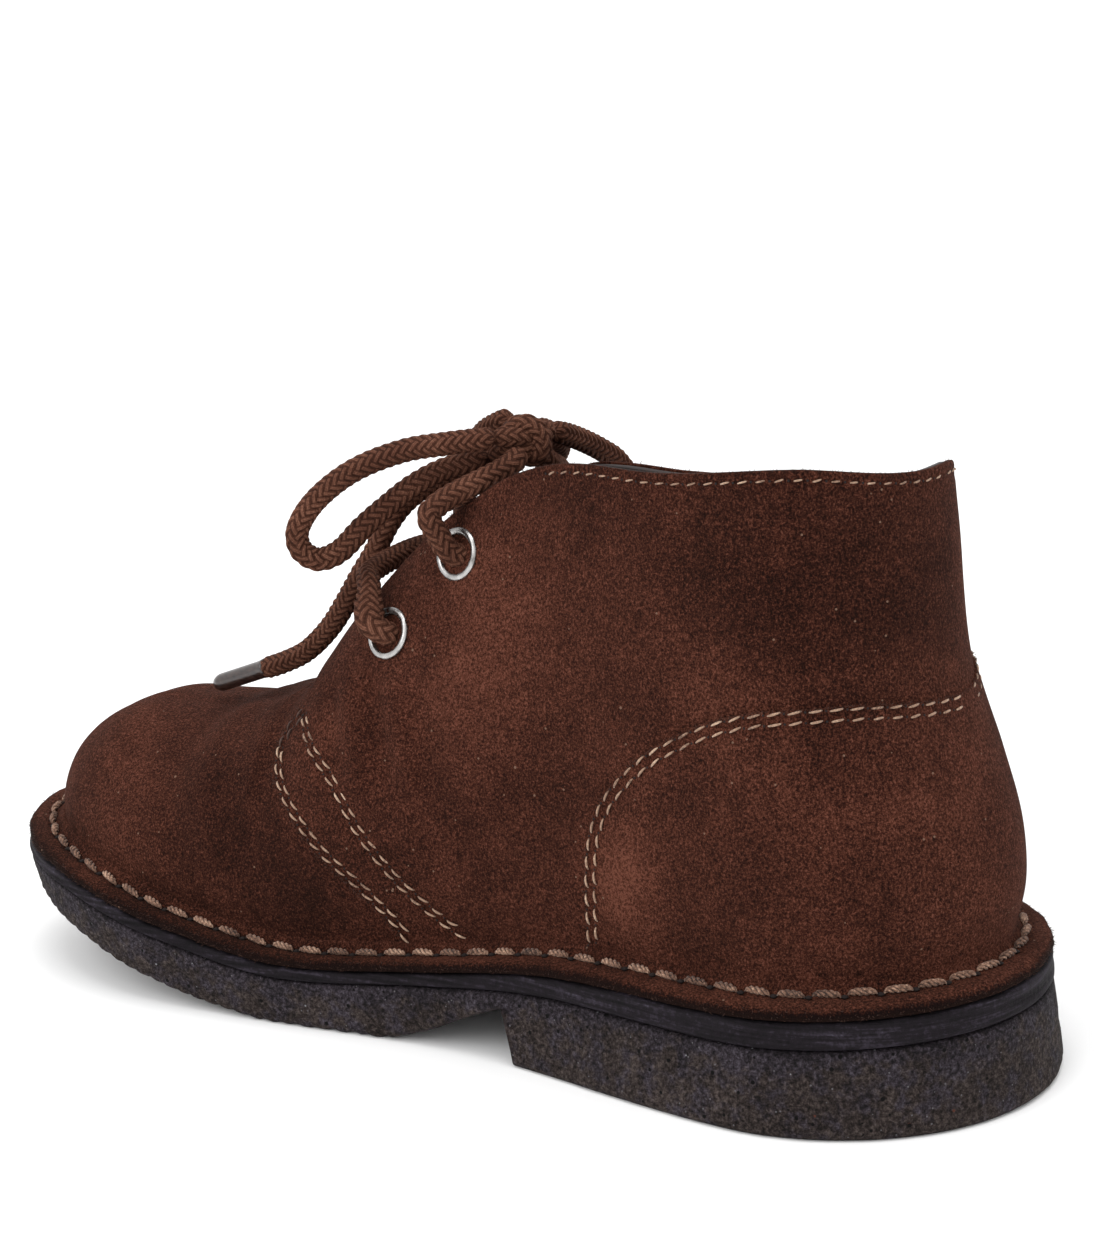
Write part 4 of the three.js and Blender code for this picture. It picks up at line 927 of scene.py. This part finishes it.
def seam_stitches(side, line, lift, parts, holes, pitch=FINE_PITCH, length=FINE_LENGTH, shift=0.0, found=None,
                  radius=FINE_RADIUS, face=1):
    """Stitches and needle holes along a line given in side view, or as shares along and up the wall."""
    share, q = found or on_wall(side, line, lift)
    path = wall(share, side, q, lift)
    run = np.concatenate([[0], np.cumsum(np.linalg.norm(np.diff(path, axis=0), axis=1))])
    normal = wall_out(side, share, q, lift) * face

    def at(rows, place):
        return np.stack([np.interp(place, run, rows[:, k]) for k in range(3)], -1)

    place = shift * pitch + 0.5
    while place + length < run[-1]:
        t = np.linspace(0, 1, 7)
        arch = np.sin(np.pi * t) ** 0.5
        span = place + length * t
        height = -0.24 + (0.32 + random.uniform(-0.07, 0.04)) * arch
        slant = (0.34 + random.uniform(-0.16, 0.16)) * (t - 0.5)
        out = at(normal, span)
        sideways = np.cross(out, at(path, span[-1:])[0] - at(path, span[:1])[0])
        sideways /= np.linalg.norm(sideways, axis=1)[:, None]
        parts.append(tube(at(path, span) + out * height[:, None] + sideways * slant[:, None],
                          radius * (0.5 + 0.5 * np.sin(np.pi * t) ** 0.7), 7))
        holes.append((at(path, np.array([place - 0.5 * (pitch - length)]))[0], out[0]))
        place += pitch
    return parts


def counter_row(side, inset):
    """Row that follows the counter's edge, set in from it, round to the back line."""
    share, q = counter_edge(side)
    climb = q[-1] - q[-1 - BACK_STEPS]
    share, q = share[:-BACK_STEPS], q[:-BACK_STEPS]
    edge = wall(share, side, q, 1.1)
    way = np.gradient(edge, axis=0)
    inward = np.cross(way, wall_out(side, share, q, 1.1)) * side
    inward /= np.linalg.norm(inward, axis=1)[:, None]
    target = edge + inset * inward
    for _ in range(8):
        here = wall(share, side, q, 1.1)
        by_share = (wall(share + 0.002, side, q, 1.1) - here) / 0.002
        by_q = (wall(share, side, q + 0.002, 1.1) - here) / 0.002
        miss = target - here
        aa, bb, ab = (by_share ** 2).sum(-1), (by_q ** 2).sum(-1), (by_share * by_q).sum(-1)
        a, b = (by_share * miss).sum(-1), (by_q * miss).sum(-1)
        det = aa * bb - ab * ab
        share = np.clip(share + (a * bb - b * ab) / det, 0, 1)
        q = np.clip(q + (b * aa - a * ab) / det, 0, 1)
    return to_back_line(share[3:], q[3:], climb)


def beside(line, distance):
    """A line at a distance to the left of another in side view."""
    way = np.gradient(line, axis=0)
    way /= np.linalg.norm(way, axis=1)[:, None]
    return line + distance * np.stack([-way[:, 1], way[:, 0]], -1)


quarter_line = smooth_line(QUARTER_EDGE, 80)
lower_front = quarter_line[quarter_line[:, 1] < 45.5]
upper_front = quarter_line[quarter_line[:, 1] >= 44.5]
second_line = smooth_line(SECOND_SEAM, 60)
counter_line = smooth_line(COUNTER_EDGE, 120)
pale, dark_parts, holes = [], [], []
for side in (1, -1):
    front_lift, rear_lift = 0.7, 1.15 if side > 0 else 0.98
    for offset, shift in ((-0.75, 0.0), (-2.0, 0.12)):
        seam_stitches(side, beside(lower_front, offset)[:-2], front_lift, pale, holes, shift=shift)
        seam_stitches(side, beside(upper_front, offset)[3:], front_lift, dark_parts, holes, shift=shift)
    for offset, shift in ((0.0, 0.0), (-1.3, 0.1)):
        seam_stitches(side, beside(second_line, offset), front_lift, pale, holes, shift=shift)
    for offset, shift in ((0.3, 0.0), (1.85, 0.3)):
        seam_stitches(side, None, rear_lift, pale, holes, shift=shift, found=counter_row(side, offset))
    collar_share = 0.375 * np.linspace(0.0, 1.0, 90) ** 1.6
    collar_q = 1 - 1.4 / np.interp(collar_share, SECTIONS["at"], SECTIONS["rise"])
    for lift, face, radius in ((0.6, 1, 0.15), (-1.75, -1, 0.17)):
        seam_stitches(side, None, lift, pale, holes, pitch=2.7, length=1.5, found=(collar_share[::-1], collar_q[::-1]),
                      radius=radius, face=face)
points, faces = gather(pale)
raise_piece("panel_stitches", points, faces, [thread_finish("tan_thread", [
    (0.34, (0.09, 0.045, 0.028)), (0.5, (0.31, 0.19, 0.125)), (0.68, (0.62, 0.44, 0.31)),
])], "suede")
points, faces = gather(dark_parts)
raise_piece("front_corner_stitches", points, faces, [thread_finish("brown_thread", [
    (0.3, (0.016, 0.006, 0.004)), (0.5, (0.05, 0.021, 0.013)), (0.7, (0.13, 0.065, 0.042)),
])], "suede")
# Each needle hole gets the near-black finish of painted shade.
raise_piece(
    "needle_hole_shades", *gather([shaded_needle_hole(centre, out, 0.19, 0.15) for centre, out in holes]), [hole_shade_finish], "suede",
)

# Cut edges. Suede frays where it is cut, so short fibres stand out along the flange, the collar and the lapped edges.
FIBRE_LENGTH, FIBRE_THICK = 0.75, 0.055


def fray(places, outs, per_mm, parts):
    """Fine tapered fibres at random places along a line, leaning out of it."""
    run = np.concatenate([[0], np.cumsum(np.linalg.norm(np.diff(places, axis=0), axis=1))])
    for _ in range(int(run[-1] * per_mm)):
        at = random.uniform(0, run[-1])
        place, out = [np.array([np.interp(at, run, rows[:, k]) for k in range(3)]) for rows in (places, outs)]
        lean = out + np.array([random.gauss(0, 0.55) for _ in range(3)])
        lean /= np.linalg.norm(lean)
        root = place + np.array([random.gauss(0, 0.12) for _ in range(3)]) - 0.15 * out
        first = np.cross(lean, (0.3, 0.5, 0.8))
        first *= FIBRE_THICK / np.linalg.norm(first)
        second = np.cross(lean, first)
        tip = root + lean * (0.15 + FIBRE_LENGTH * random.random() ** 1.6)
        parts.append((np.array([root + first, root - 0.5 * first + 0.87 * second, root - 0.5 * first - 0.87 * second, tip]),
                      [[0, 2, 1], [0, 1, 3], [1, 2, 3], [2, 0, 3]]))


fibres = []
flange_out = np.column_stack([outward, np.full(len(outward), 0.25)])
for k in (13, 15, 16):
    fray(flange[:, k], flange_out, 2.6, fibres)
for side in (1, -1):
    collar_share = 0.03 + np.linspace(0.0, 0.65, 240) ** 1.3
    collar_top = np.ones_like(collar_share)
    collar_out = 0.6 * wall_out(side, collar_share, collar_top, 0.3) + (0, 0, 0.8)
    fray(wall(collar_share, side, collar_top, 0.3), collar_out, 5.0, fibres)
    for share, q, lift in ((*counter_edge(side), 1.1), (*on_wall(side, quarter_line, 0.6), 0.6)):
        fray(wall(share, side, q, lift), 0.8 * wall_out(side, share, q, lift), 5.0, fibres)
raise_piece("frayed_fibres", *gather(fibres), [new_finish("loose_fibre", 0.9, (0.06, 0.024, 0.015))[0]], "suede")


# Lining. Smooth dark leather glued inside the suede, trimmed level with the collar and turned in at the throat.
def lining_finish(name, dark, light, roughness):
    material, tree, shader = new_finish(name, roughness, Specular_IOR_Level=0.4)
    cloud = grain(tree, 60, 3.0)
    pores = grain(tree, 1900, 3.0, 0.6)
    value = sums(tree, "MULTIPLY_ADD", cloud, 0.6, sums(tree, "MULTIPLY", pores, 0.4))
    tree.links.new(shades(tree, value, [(0.35, dark), (0.65, light)]), shader.inputs["Base Color"])
    relief(tree, shader, pores, 0.12, 0.7)
    return material


lining_leather = lining_finish("lining_leather", (0.012, 0.007, 0.006), (0.03, 0.017, 0.014), 0.55)
lining_outer, lining_inner, lining_faces = [], [], []
q, _ = edge_round(46, 0.004, 0.0)
t = round_shares(150)
t = t[t < THROAT_BASE - 0.004]
t = np.append(t, THROAT_BASE - 0.004)
for side in (1, -1):
    share = np.repeat(t[:, None], len(q), 1)
    qq = np.repeat((q * 0.997)[None, :], len(t), 0)
    start = sum(len(part) for part in lining_outer)
    near_rim = 0.25 * np.clip((qq - 0.99) / 0.007, 0, 1) ** 2
    lining_outer.append(wall(share, side, qq, -0.95).reshape(-1, 3))
    lining_inner.append(wall(share, side, qq, -1.75 + near_rim).reshape(-1, 3))
    lining_faces += grid_faces(*share.shape, start=start)
lining = shell(
    "lining", np.concatenate(lining_outer), np.concatenate(lining_inner), lining_faces, [lining_leather], "insole",
)
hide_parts("upper")

# Insole. A leather footbed over the seat and the forepart, smooth and slightly hollowed by wear.
INSOLE_THICK, WEB_GAP = 3.0, 0.5
insole_inset = FLANGE_WIDTH + WALL + WEB_GAP
loops = []
for share in round_shares(140):
    x = along_sole(share, insole_inset)
    level_x = along_sole(share, 0)
    low = float(runner_top(level_x)) + GAP
    inner_y, outer_y = float(outline_y(x, 1, insole_inset)), float(outline_y(x, -1, insole_inset))
    across = np.linspace(0, 1, 25)
    y = outer_y + (inner_y - outer_y) * across
    cup = 0.5 * (2 * across - 1) ** 4 - 0.35 * (1 - (2 * across - 1) ** 2)
    upper_face = np.stack([np.full(25, x), y, low + INSOLE_THICK - 0.2 + cup], -1)
    loops.append(np.concatenate([upper_face, [[x, inner_y, low]], [[x, outer_y, low]]]))
bed = np.array(loops)
piece = raise_piece(
    "insole_bed", bed.reshape(-1, 3), grid_faces(*bed.shape[:2], around=True),
    [lining_finish("insole_leather", (0.03, 0.016, 0.011), (0.07, 0.04, 0.028), 0.6)], "insole",
)
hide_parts("insole")

# Tongue. A suede flap sewn under the vamp ahead of the throat, crowned between the facings, with soft wings.
TONGUE_TOP, TONGUE_SEAM, TONGUE_WING, TONGUE_THICK, TONGUE_SINK = 0.46, 0.77, 0.86, 1.6, 0.6
TONGUE_CROWN, TONGUE_CLOSING = 0.08, 0.05
faces_of = []
for lower in (False, True):
    rows_ = []
    for share in np.linspace(TONGUE_TOP, TONGUE_SEAM, 90):
        depth = WALL + WEB_GAP + (TONGUE_THICK if lower else 0)
        rounded = float(quarter_round(min(1.0, (share - TONGUE_TOP) / 0.03), 1))
        wing = 0.97 + (TONGUE_WING - 0.97) * rounded
        qs = np.linspace(wing, 1, 12)
        near, far = wall(share, 1, qs, -depth), wall(share, -1, qs, -depth)
        closing = min(1.0, max(0.0, 1 - (THROAT_BASE - share) / TONGUE_CLOSING)) if share < THROAT_BASE else 0.0
        near[:, 2] -= TONGUE_SINK + closing * depth
        far[:, 2] -= TONGUE_SINK + closing * depth
        t = np.linspace(0, 1, 16)[1:-1, None]
        bridge = near[-1] + (far[-1] - near[-1]) * t
        crown = (1 - closing if share < THROAT_BASE else 0) * TONGUE_CROWN * np.linalg.norm(near[-1] - far[-1])
        bridge[:, 2] += crown * np.sin(np.pi * t[:, 0])
        rows_.append(np.concatenate([near, bridge, far[::-1]]))
    faces_of.append(np.array(rows_))
piece = shell(
    "tongue_flap", faces_of[0].reshape(-1, 3), faces_of[1].reshape(-1, 3), grid_faces(*faces_of[0].shape[:2]), [suede],
    "suede",
)
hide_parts("tongue")


# Eyelets. Nickelled rings rolled over on the face of the quarter, two on each side.
def eyelet_finish():
    material, tree, shader = new_finish("nickelled_metal", 0.24, (0.62, 0.61, 0.6), Metallic=1.0)
    scratch = grain(tree, 1400, 4.0, 0.7)
    tree.links.new(shades(tree, scratch, [(0.3, (0.16,) * 3), (0.7, (0.42,) * 3)]), shader.inputs["Roughness"])
    tree.links.new(shades(tree, grain(tree, 500, 3.0), [
        (0.3, (0.24, 0.23, 0.22)), (0.5, (0.44, 0.43, 0.42)), (0.7, (0.6, 0.59, 0.58)),
    ]), shader.inputs["Base Color"])
    relief(tree, shader, scratch, 0.04, 0.6)
    return material


EYELET_OUTER = 8.6
metal = eyelet_finish()


def place_on(side, share, q):
    """Place on the quarter, the way out of the leather and the way along it."""
    step = 0.002
    point = wall(share, side, q, 0.7)
    along = wall(share + step, side, q, 0.7) - wall(share - step, side, q, 0.7)
    upward = wall(share, side, q + step, 0.7) - wall(share, side, q - step, 0.7)
    out = np.cross(upward, along) * side
    return point, out / np.linalg.norm(out), along / np.linalg.norm(along)


for side, label in ((1, "inner"), (-1, "outer")):
    for name, share, q in EYELETS:
        centre, out, along = place_on(side, share, q)
        across = np.cross(out, along)
        lip = EYELET_OUTER / 2
        roll = np.linspace(-0.1 * np.pi, 1.1 * np.pi, 12)
        crest, round_half = lip - 0.55, 0.55
        profile = [(crest + round_half * np.cos(a), 0.05 + 0.5 * np.sin(a)) for a in roll]
        profile += [(crest - 0.72, -0.35), (crest - 0.85, -0.9), (crest - 0.9, -2.3), (crest - 0.55, -2.3)]
        profile += [(crest - 0.4, -0.5), (crest, -0.25)]
        angle = 2 * np.pi * np.arange(56) / 56
        rows_ = [
            centre + out * h + r * (np.outer(np.cos(angle), along) + np.outer(np.sin(angle), across))
            for r, h in profile
        ]
        body = np.array(rows_)
        piece = raise_piece(
            f"eyelet_ring_{name}_{label}", body.reshape(-1, 3),
            grid_faces(len(profile), 56, around=True, looped=True), [metal], "eyelet",
        )
        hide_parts(f"eyelet_{name}_{label}")


# Lace. One round braided cord of brown cotton: a bar between the lower eyelets, a strand from each upper
# eyelet to the knot, a bow of two loops, and two ends with dark tips.
def fraction_and_whole(tree, value):
    return sums(tree, "FRACT", value, 0.0), sums(tree, "FLOOR", value, 0.0)


def lace_finish():
    """Braid of bundles that float over two and under two, each bundle of fine yarns."""
    material, tree, shader = new_finish("braided_cord", 0.85, Specular_IOR_Level=0.1)
    ways = []
    for label in ("weave_a", "weave_b"):
        way = tree.nodes.new("ShaderNodeAttribute")
        way.attribute_name = label
        ways.append(fraction_and_whole(tree, way.outputs["Fac"]))
    (fraction_a, whole_a), (fraction_b, whole_b) = ways
    order = sums(tree, "FLOORED_MODULO", sums(tree, "ADD", whole_a, whole_b), 4.0)
    first_over = sums(tree, "LESS_THAN", order, 1.5)
    across = sums(tree, "ADD", sums(tree, "MULTIPLY", first_over, fraction_a),
                  sums(tree, "MULTIPLY", sums(tree, "SUBTRACT", 1.0, first_over), fraction_b))
    from_middle = sums(tree, "ABSOLUTE", sums(tree, "MULTIPLY_ADD", across, 2.0, -1.0), 0.0)
    bundle = sums(tree, "SUBTRACT", 1.0, sums(tree, "POWER", from_middle, 2.0))
    yarn = sums(tree, "SINE", sums(tree, "MULTIPLY", across, 6.2832 * YARNS), 0.0)
    fuzz = grain(tree, 3600, 3.0, 0.7)
    cloud = grain(tree, 150, 2.0)
    value = sums(tree, "MULTIPLY_ADD", bundle, 0.3, sums(tree, "MULTIPLY", fuzz, 0.45))
    value = sums(tree, "MULTIPLY_ADD", yarn, 0.05, value)
    value = sums(tree, "MULTIPLY_ADD", cloud, 0.3, value)
    # The colour darkens towards each bundle's edges and along the yarns: painted shade in the braid's crevices.
    tree.links.new(shades(tree, value, [
        (0.28, (0.01, 0.0034, 0.002)), (0.48, (0.043, 0.0155, 0.009)), (0.64, (0.1, 0.039, 0.0235)),
        (0.82, (0.22, 0.1, 0.064)),
    ]), shader.inputs["Base Color"])
    height = sums(tree, "MULTIPLY_ADD", bundle, 0.8, sums(tree, "MULTIPLY", yarn, 0.12))
    relief(tree, shader, sums(tree, "MULTIPLY_ADD", fuzz, 0.5, height), 0.25, 1.0)
    return material


LACE_DIAMETER, BRAID_STRANDS, BRAID_LAY, BRAID_DEPTH, YARNS = 4.0, 8, 1.5, 0.42, 3.5
CORD_SIDES, CORD_STEP, EYELET_SWELL, END_ROUND = 40, 0.3, 0.6, 1.9
cord = lace_finish()


def braid(path, diameter=LACE_DIAMETER, swells=()):
    """Braided cord along a path, swollen where it is pressed: points, faces and where face corners lie in the braid."""
    rows_ = np.asarray(path, float)
    run = np.concatenate([[0], np.cumsum(np.linalg.norm(np.diff(rows_, axis=0), axis=1))])
    count = max(8, int(run[-1] / CORD_STEP))
    even = np.linspace(0, run[-1], count)
    line = np.stack([np.interp(even, run, rows_[:, k]) for k in range(3)], -1)
    turn_ = np.arange(CORD_SIDES + 1) / CORD_SIDES * BRAID_STRANDS
    a = turn_[None, :] + even[:, None] / BRAID_LAY
    b = turn_[None, :] - even[:, None] / BRAID_LAY
    order = (np.floor(a) + np.floor(b)) % 4
    first_over = order < 1.5
    across = np.where(first_over, a % 1, b % 1)
    float_along = np.where(first_over, ((b + np.floor(a)) % 4) / 2, ((a + np.floor(b)) % 4 - 2) / 2)
    proud = np.sqrt(np.maximum(0, 1 - (2 * across - 1) ** 2)) * (0.55 + 0.45 * np.sin(np.pi * np.clip(float_along, 0, 1)))
    swell = EYELET_SWELL * sum(np.exp(-((even - place) / 3.2) ** 2) for place in swells)
    radius = diameter / 2 + (swell[:, None] if swells else 0) - BRAID_DEPTH * (1 - proud[:, :-1])
    from_end = np.minimum(even, run[-1] - even)[:, None]
    radius = radius * np.sqrt(1 - np.clip(1 - from_end / END_ROUND, 0, 0.97) ** 2)
    points_, faces_ = tube(line, radius, CORD_SIDES)
    corners = {"weave_a": [], "weave_b": []}
    for label, grid in (("weave_a", a), ("weave_b", b)):
        quads = np.stack([grid[:-1, :-1], grid[:-1, 1:], grid[1:, 1:], grid[1:, :-1]], -1).reshape(-1)
        corners[label] = np.concatenate([quads + 64, np.full(6 * CORD_SIDES, 0.5)])
    return points_, faces_, corners


def lace_piece(name, strands, node):
    """One object from braided strands."""
    points_, faces_ = gather([(p, f) for p, f, _ in strands])
    values = {label: np.concatenate([c[label] for _, _, c in strands]) for label in ("weave_a", "weave_b")}
    mesh_piece = raise_piece(name, points_, faces_, [cord], "lace", values)
    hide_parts(node)
    return mesh_piece


def curve_through(places, count=140):
    """Smooth curve through points, as evenly spaced points."""
    return smooth_line(places, count)


KNOT = np.array([85.5, 2.5, 95.4])
LOOP_INNER = [
    (87.9, 8.5, 96.6), (95.3, 11.0, 95.8), (101.9, 14.0, 94.8), (108.7, 18.0, 92.1), (114.4, 21.0, 87.6),
    (117.1, 23.0, 83.0), (117.0, 23.0, 79.7), (114.9, 21.5, 77.7), (112.3, 19.0, 78.6), (109.2, 16.5, 82.2),
    (106.4, 13.5, 85.2), (102.8, 10.5, 88.4), (98.5, 7.5, 90.8), (91.5, 5.0, 92.8),
]
LOOP_OUTER = [
    (85.0, -4.6, 95.6), (85.2, -9.4, 94.2), (85.2, -14.4, 92.3), (84.8, -19.2, 90.0), (84.4, -23.6, 87.4),
    (84.4, -27.4, 83.4), (86.2, -30.2, 77.6), (90.2, -31.6, 72.2), (95.8, -32.0, 68.8), (101.6, -31.4, 68.8),
    (105.4, -30.6, 72.4), (105.2, -29.6, 78.0), (101.8, -27.6, 83.0), (97.0, -24.2, 87.2), (93.2, -19.6, 90.6),
    (91.4, -14.4, 93.2), (90.6, -9.6, 94.8), (89.4, -5.4, 94.9),
]
END_INNER = [
    (92.4, 0.4, 92.5), (99.8, -1.0, 90.2), (106.4, -1.0, 87.0), (111.4, 0.6, 83.4), (114.3, 2.0, 79.6),
    (116.8, 3.0, 74.8), (119.5, 4.0, 70.5), (122.6, 4.0, 66.1), (126.4, 4.0, 61.2), (131.8, 4.0, 56.4),
    (137.0, 4.0, 53.8), (142.0, 4.0, 52.0),
]
END_OUTER = [
    (90.9, -0.6, 98.2), (98.0, -4.2, 95.0), (104.6, -9.5, 89.6), (110.4, -15.5, 81.5), (115.0, -21.6, 71.4),
    (118.8, -26.4, 61.6), (122.0, -29.8, 52.4),
]


def aglet_finish():
    material, tree, shader = new_finish("clear_tip", 0.3, Specular_IOR_Level=0.5, Coat_Weight=0.6, Coat_Roughness=0.15)
    under = grain(tree, 700, 3.0, stretch=(1, 1, 3))
    tree.links.new(shades(tree, under, [
        (0.3, (0.009, 0.004, 0.0035)), (0.6, (0.032, 0.017, 0.0135)), (0.8, (0.07, 0.043, 0.036)),
    ]), shader.inputs["Base Color"])
    relief(tree, shader, under, 0.08, 0.5)
    return material


AGLET_LENGTH, AGLET_DIAMETER = 11.0, 3.2
tip_finish = aglet_finish()
for label, rows_ in (("inner", END_INNER), ("outer", END_OUTER)):
    path = curve_through(rows_)
    way = np.array(rows_[-1]) - np.array(rows_[-2])
    way /= np.linalg.norm(way)
    t = np.linspace(0, 1, 24)
    line = np.array(rows_[-1]) + np.outer(-1.2 + t * (AGLET_LENGTH + 1.2), way)
    body = AGLET_DIAMETER / 2 * (1 + 0.1 * np.exp(-(t / 0.08) ** 2) - 0.25 * np.exp(-((1 - t) / 0.05) ** 2))
    points, faces = tube(line, body, 20)
    raise_piece(f"lace_tip_{label}", points, faces, [tip_finish], "aglet")
    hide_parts(f"aglet_{label}")

for label, rows_, kind in (
    ("inner", LOOP_INNER, "loop"), ("outer", LOOP_OUTER, "loop"), ("inner", END_INNER, "end"), ("outer", END_OUTER, "end"),
):
    path = curve_through(rows_)
    piece = lace_piece(f"bow_{kind}_{label}", [braid(path)], f"lace_{kind}_{label}")


def lace_start(side, share, q, height):
    point, out, _ = place_on(side, share, q)
    return point + out * height


lower = EYELETS[0]
half_bar = {}
for side in (1, -1):
    half_bar[side] = [
        lace_start(side, lower[1] - 0.004, lower[2] - 0.006, -1.6),
        lace_start(side, lower[1], lower[2], 1.3),
        lace_start(side, lower[1] + 0.007, lower[2] + 0.03, 3.0),
        lace_start(side, lower[1] + 0.02, 0.88, 3.0),
        lace_start(side, lower[1] + 0.033, 0.98, 3.0),
    ]
middle_point = (half_bar[1][-1] + half_bar[-1][-1]) / 2 + np.array([0.8, 0, 1.0])
bar_path = curve_through([*half_bar[1], middle_point, *half_bar[-1][::-1]])
bar_length = float(np.linalg.norm(np.diff(bar_path, axis=0), axis=1).sum())
lace_piece("lower_bar", [braid(bar_path, swells=(7.0, bar_length - 7.0))], "lace_bar")
upper_eyelet = EYELETS[1]
for side, label, reach, over in ((1, "inner", (0.4, 5.2, -3.2), 5.6), (-1, "outer", (0.2, -5.2, -4.1), 4.5)):
    strand = curve_through([
        lace_start(side, upper_eyelet[1] - 0.004, upper_eyelet[2] - 0.01, -1.6),
        lace_start(side, upper_eyelet[1], upper_eyelet[2], 1.3),
        lace_start(side, upper_eyelet[1] + 0.002, upper_eyelet[2] + 0.03, 3.2),
        lace_start(side, upper_eyelet[1] + 0.004, 0.96, over),
        KNOT + np.array(reach),
        KNOT + 0.4 * np.array(reach),
    ])
    lace_piece(f"upper_strand_{label}", [braid(strand)], f"lace_strand_{label}")

# The knot is the same cord: a band wrapped round the necks of the loops, and the crossing under it
angle = np.linspace(-0.35 * np.pi, 2.05 * np.pi, 70)
band = KNOT + np.stack([
    0.6 + 2.0 * np.cos(angle) - 0.25 * angle, 1.2 - 0.25 * angle + 2.9 * np.cos(angle) * 0.25, 2.6 * np.sin(angle),
], -1)
neck = curve_through([KNOT + np.array(v) for v in (
    (3.6, 5.0, 0.9), (1.0, 2.6, 1.0), (-0.6, 0.0, 0.6), (-0.9, -3.0, 0.9), (-0.8, -5.6, 0.4))])
under = curve_through([KNOT + np.array(v) for v in (
    (6.0, 2.6, -2.4), (2.4, 1.6, -1.6), (0.0, 0.6, -1.2), (2.2, -1.6, 0.2), (4.6, -4.6, 1.4))])
lace_piece("bow_knot", [braid(band, 3.7), braid(neck, 3.6), braid(under, 3.6)], "lace_knot")

# Floor and lights. A flat white floor under a broad soft light from above and the toe's side, as in a photo studio.
floor_mesh = bpy.data.meshes.new("floor")
floor_mesh.from_pydata([(-4, -4, 0), (4, -4, 0), (4, 4, 0), (-4, 4, 0)], [], [(0, 1, 2, 3)])
floor = bpy.data.objects.new("floor", floor_mesh)
bpy.context.scene.collection.objects.link(floor)
paper, _, _ = new_finish("white_paper", 0.9, (0.97, 0.97, 0.97), Specular_IOR_Level=0.0)
floor_mesh.materials.append(paper)

world = bpy.data.worlds.new("studio")
bpy.context.scene.world = world
world.use_nodes = True
world.node_tree.nodes["Background"].inputs["Color"].default_value = (1, 1, 1, 1)
world.node_tree.nodes["Background"].inputs["Strength"].default_value = 1.06


def soft_light(name, place, size, power):
    data = bpy.data.lights.new(name, "AREA")
    data.shape, data.size, data.energy = "DISK", size, power
    lamp = bpy.data.objects.new(name, data)
    bpy.context.scene.collection.objects.link(lamp)
    lamp.location = place
    lamp.rotation_euler = (Vector((0, 0, 0.04)) - Vector(place)).to_track_quat("-Z", "Y").to_euler()


soft_light("key", (0.3, 0.9, 0.85), 1.0, 4.2)
soft_light("top", (-0.05, 0.1, 1.3), 0.8, 5.0)
bpy.context.scene.view_settings.view_transform = "Standard"
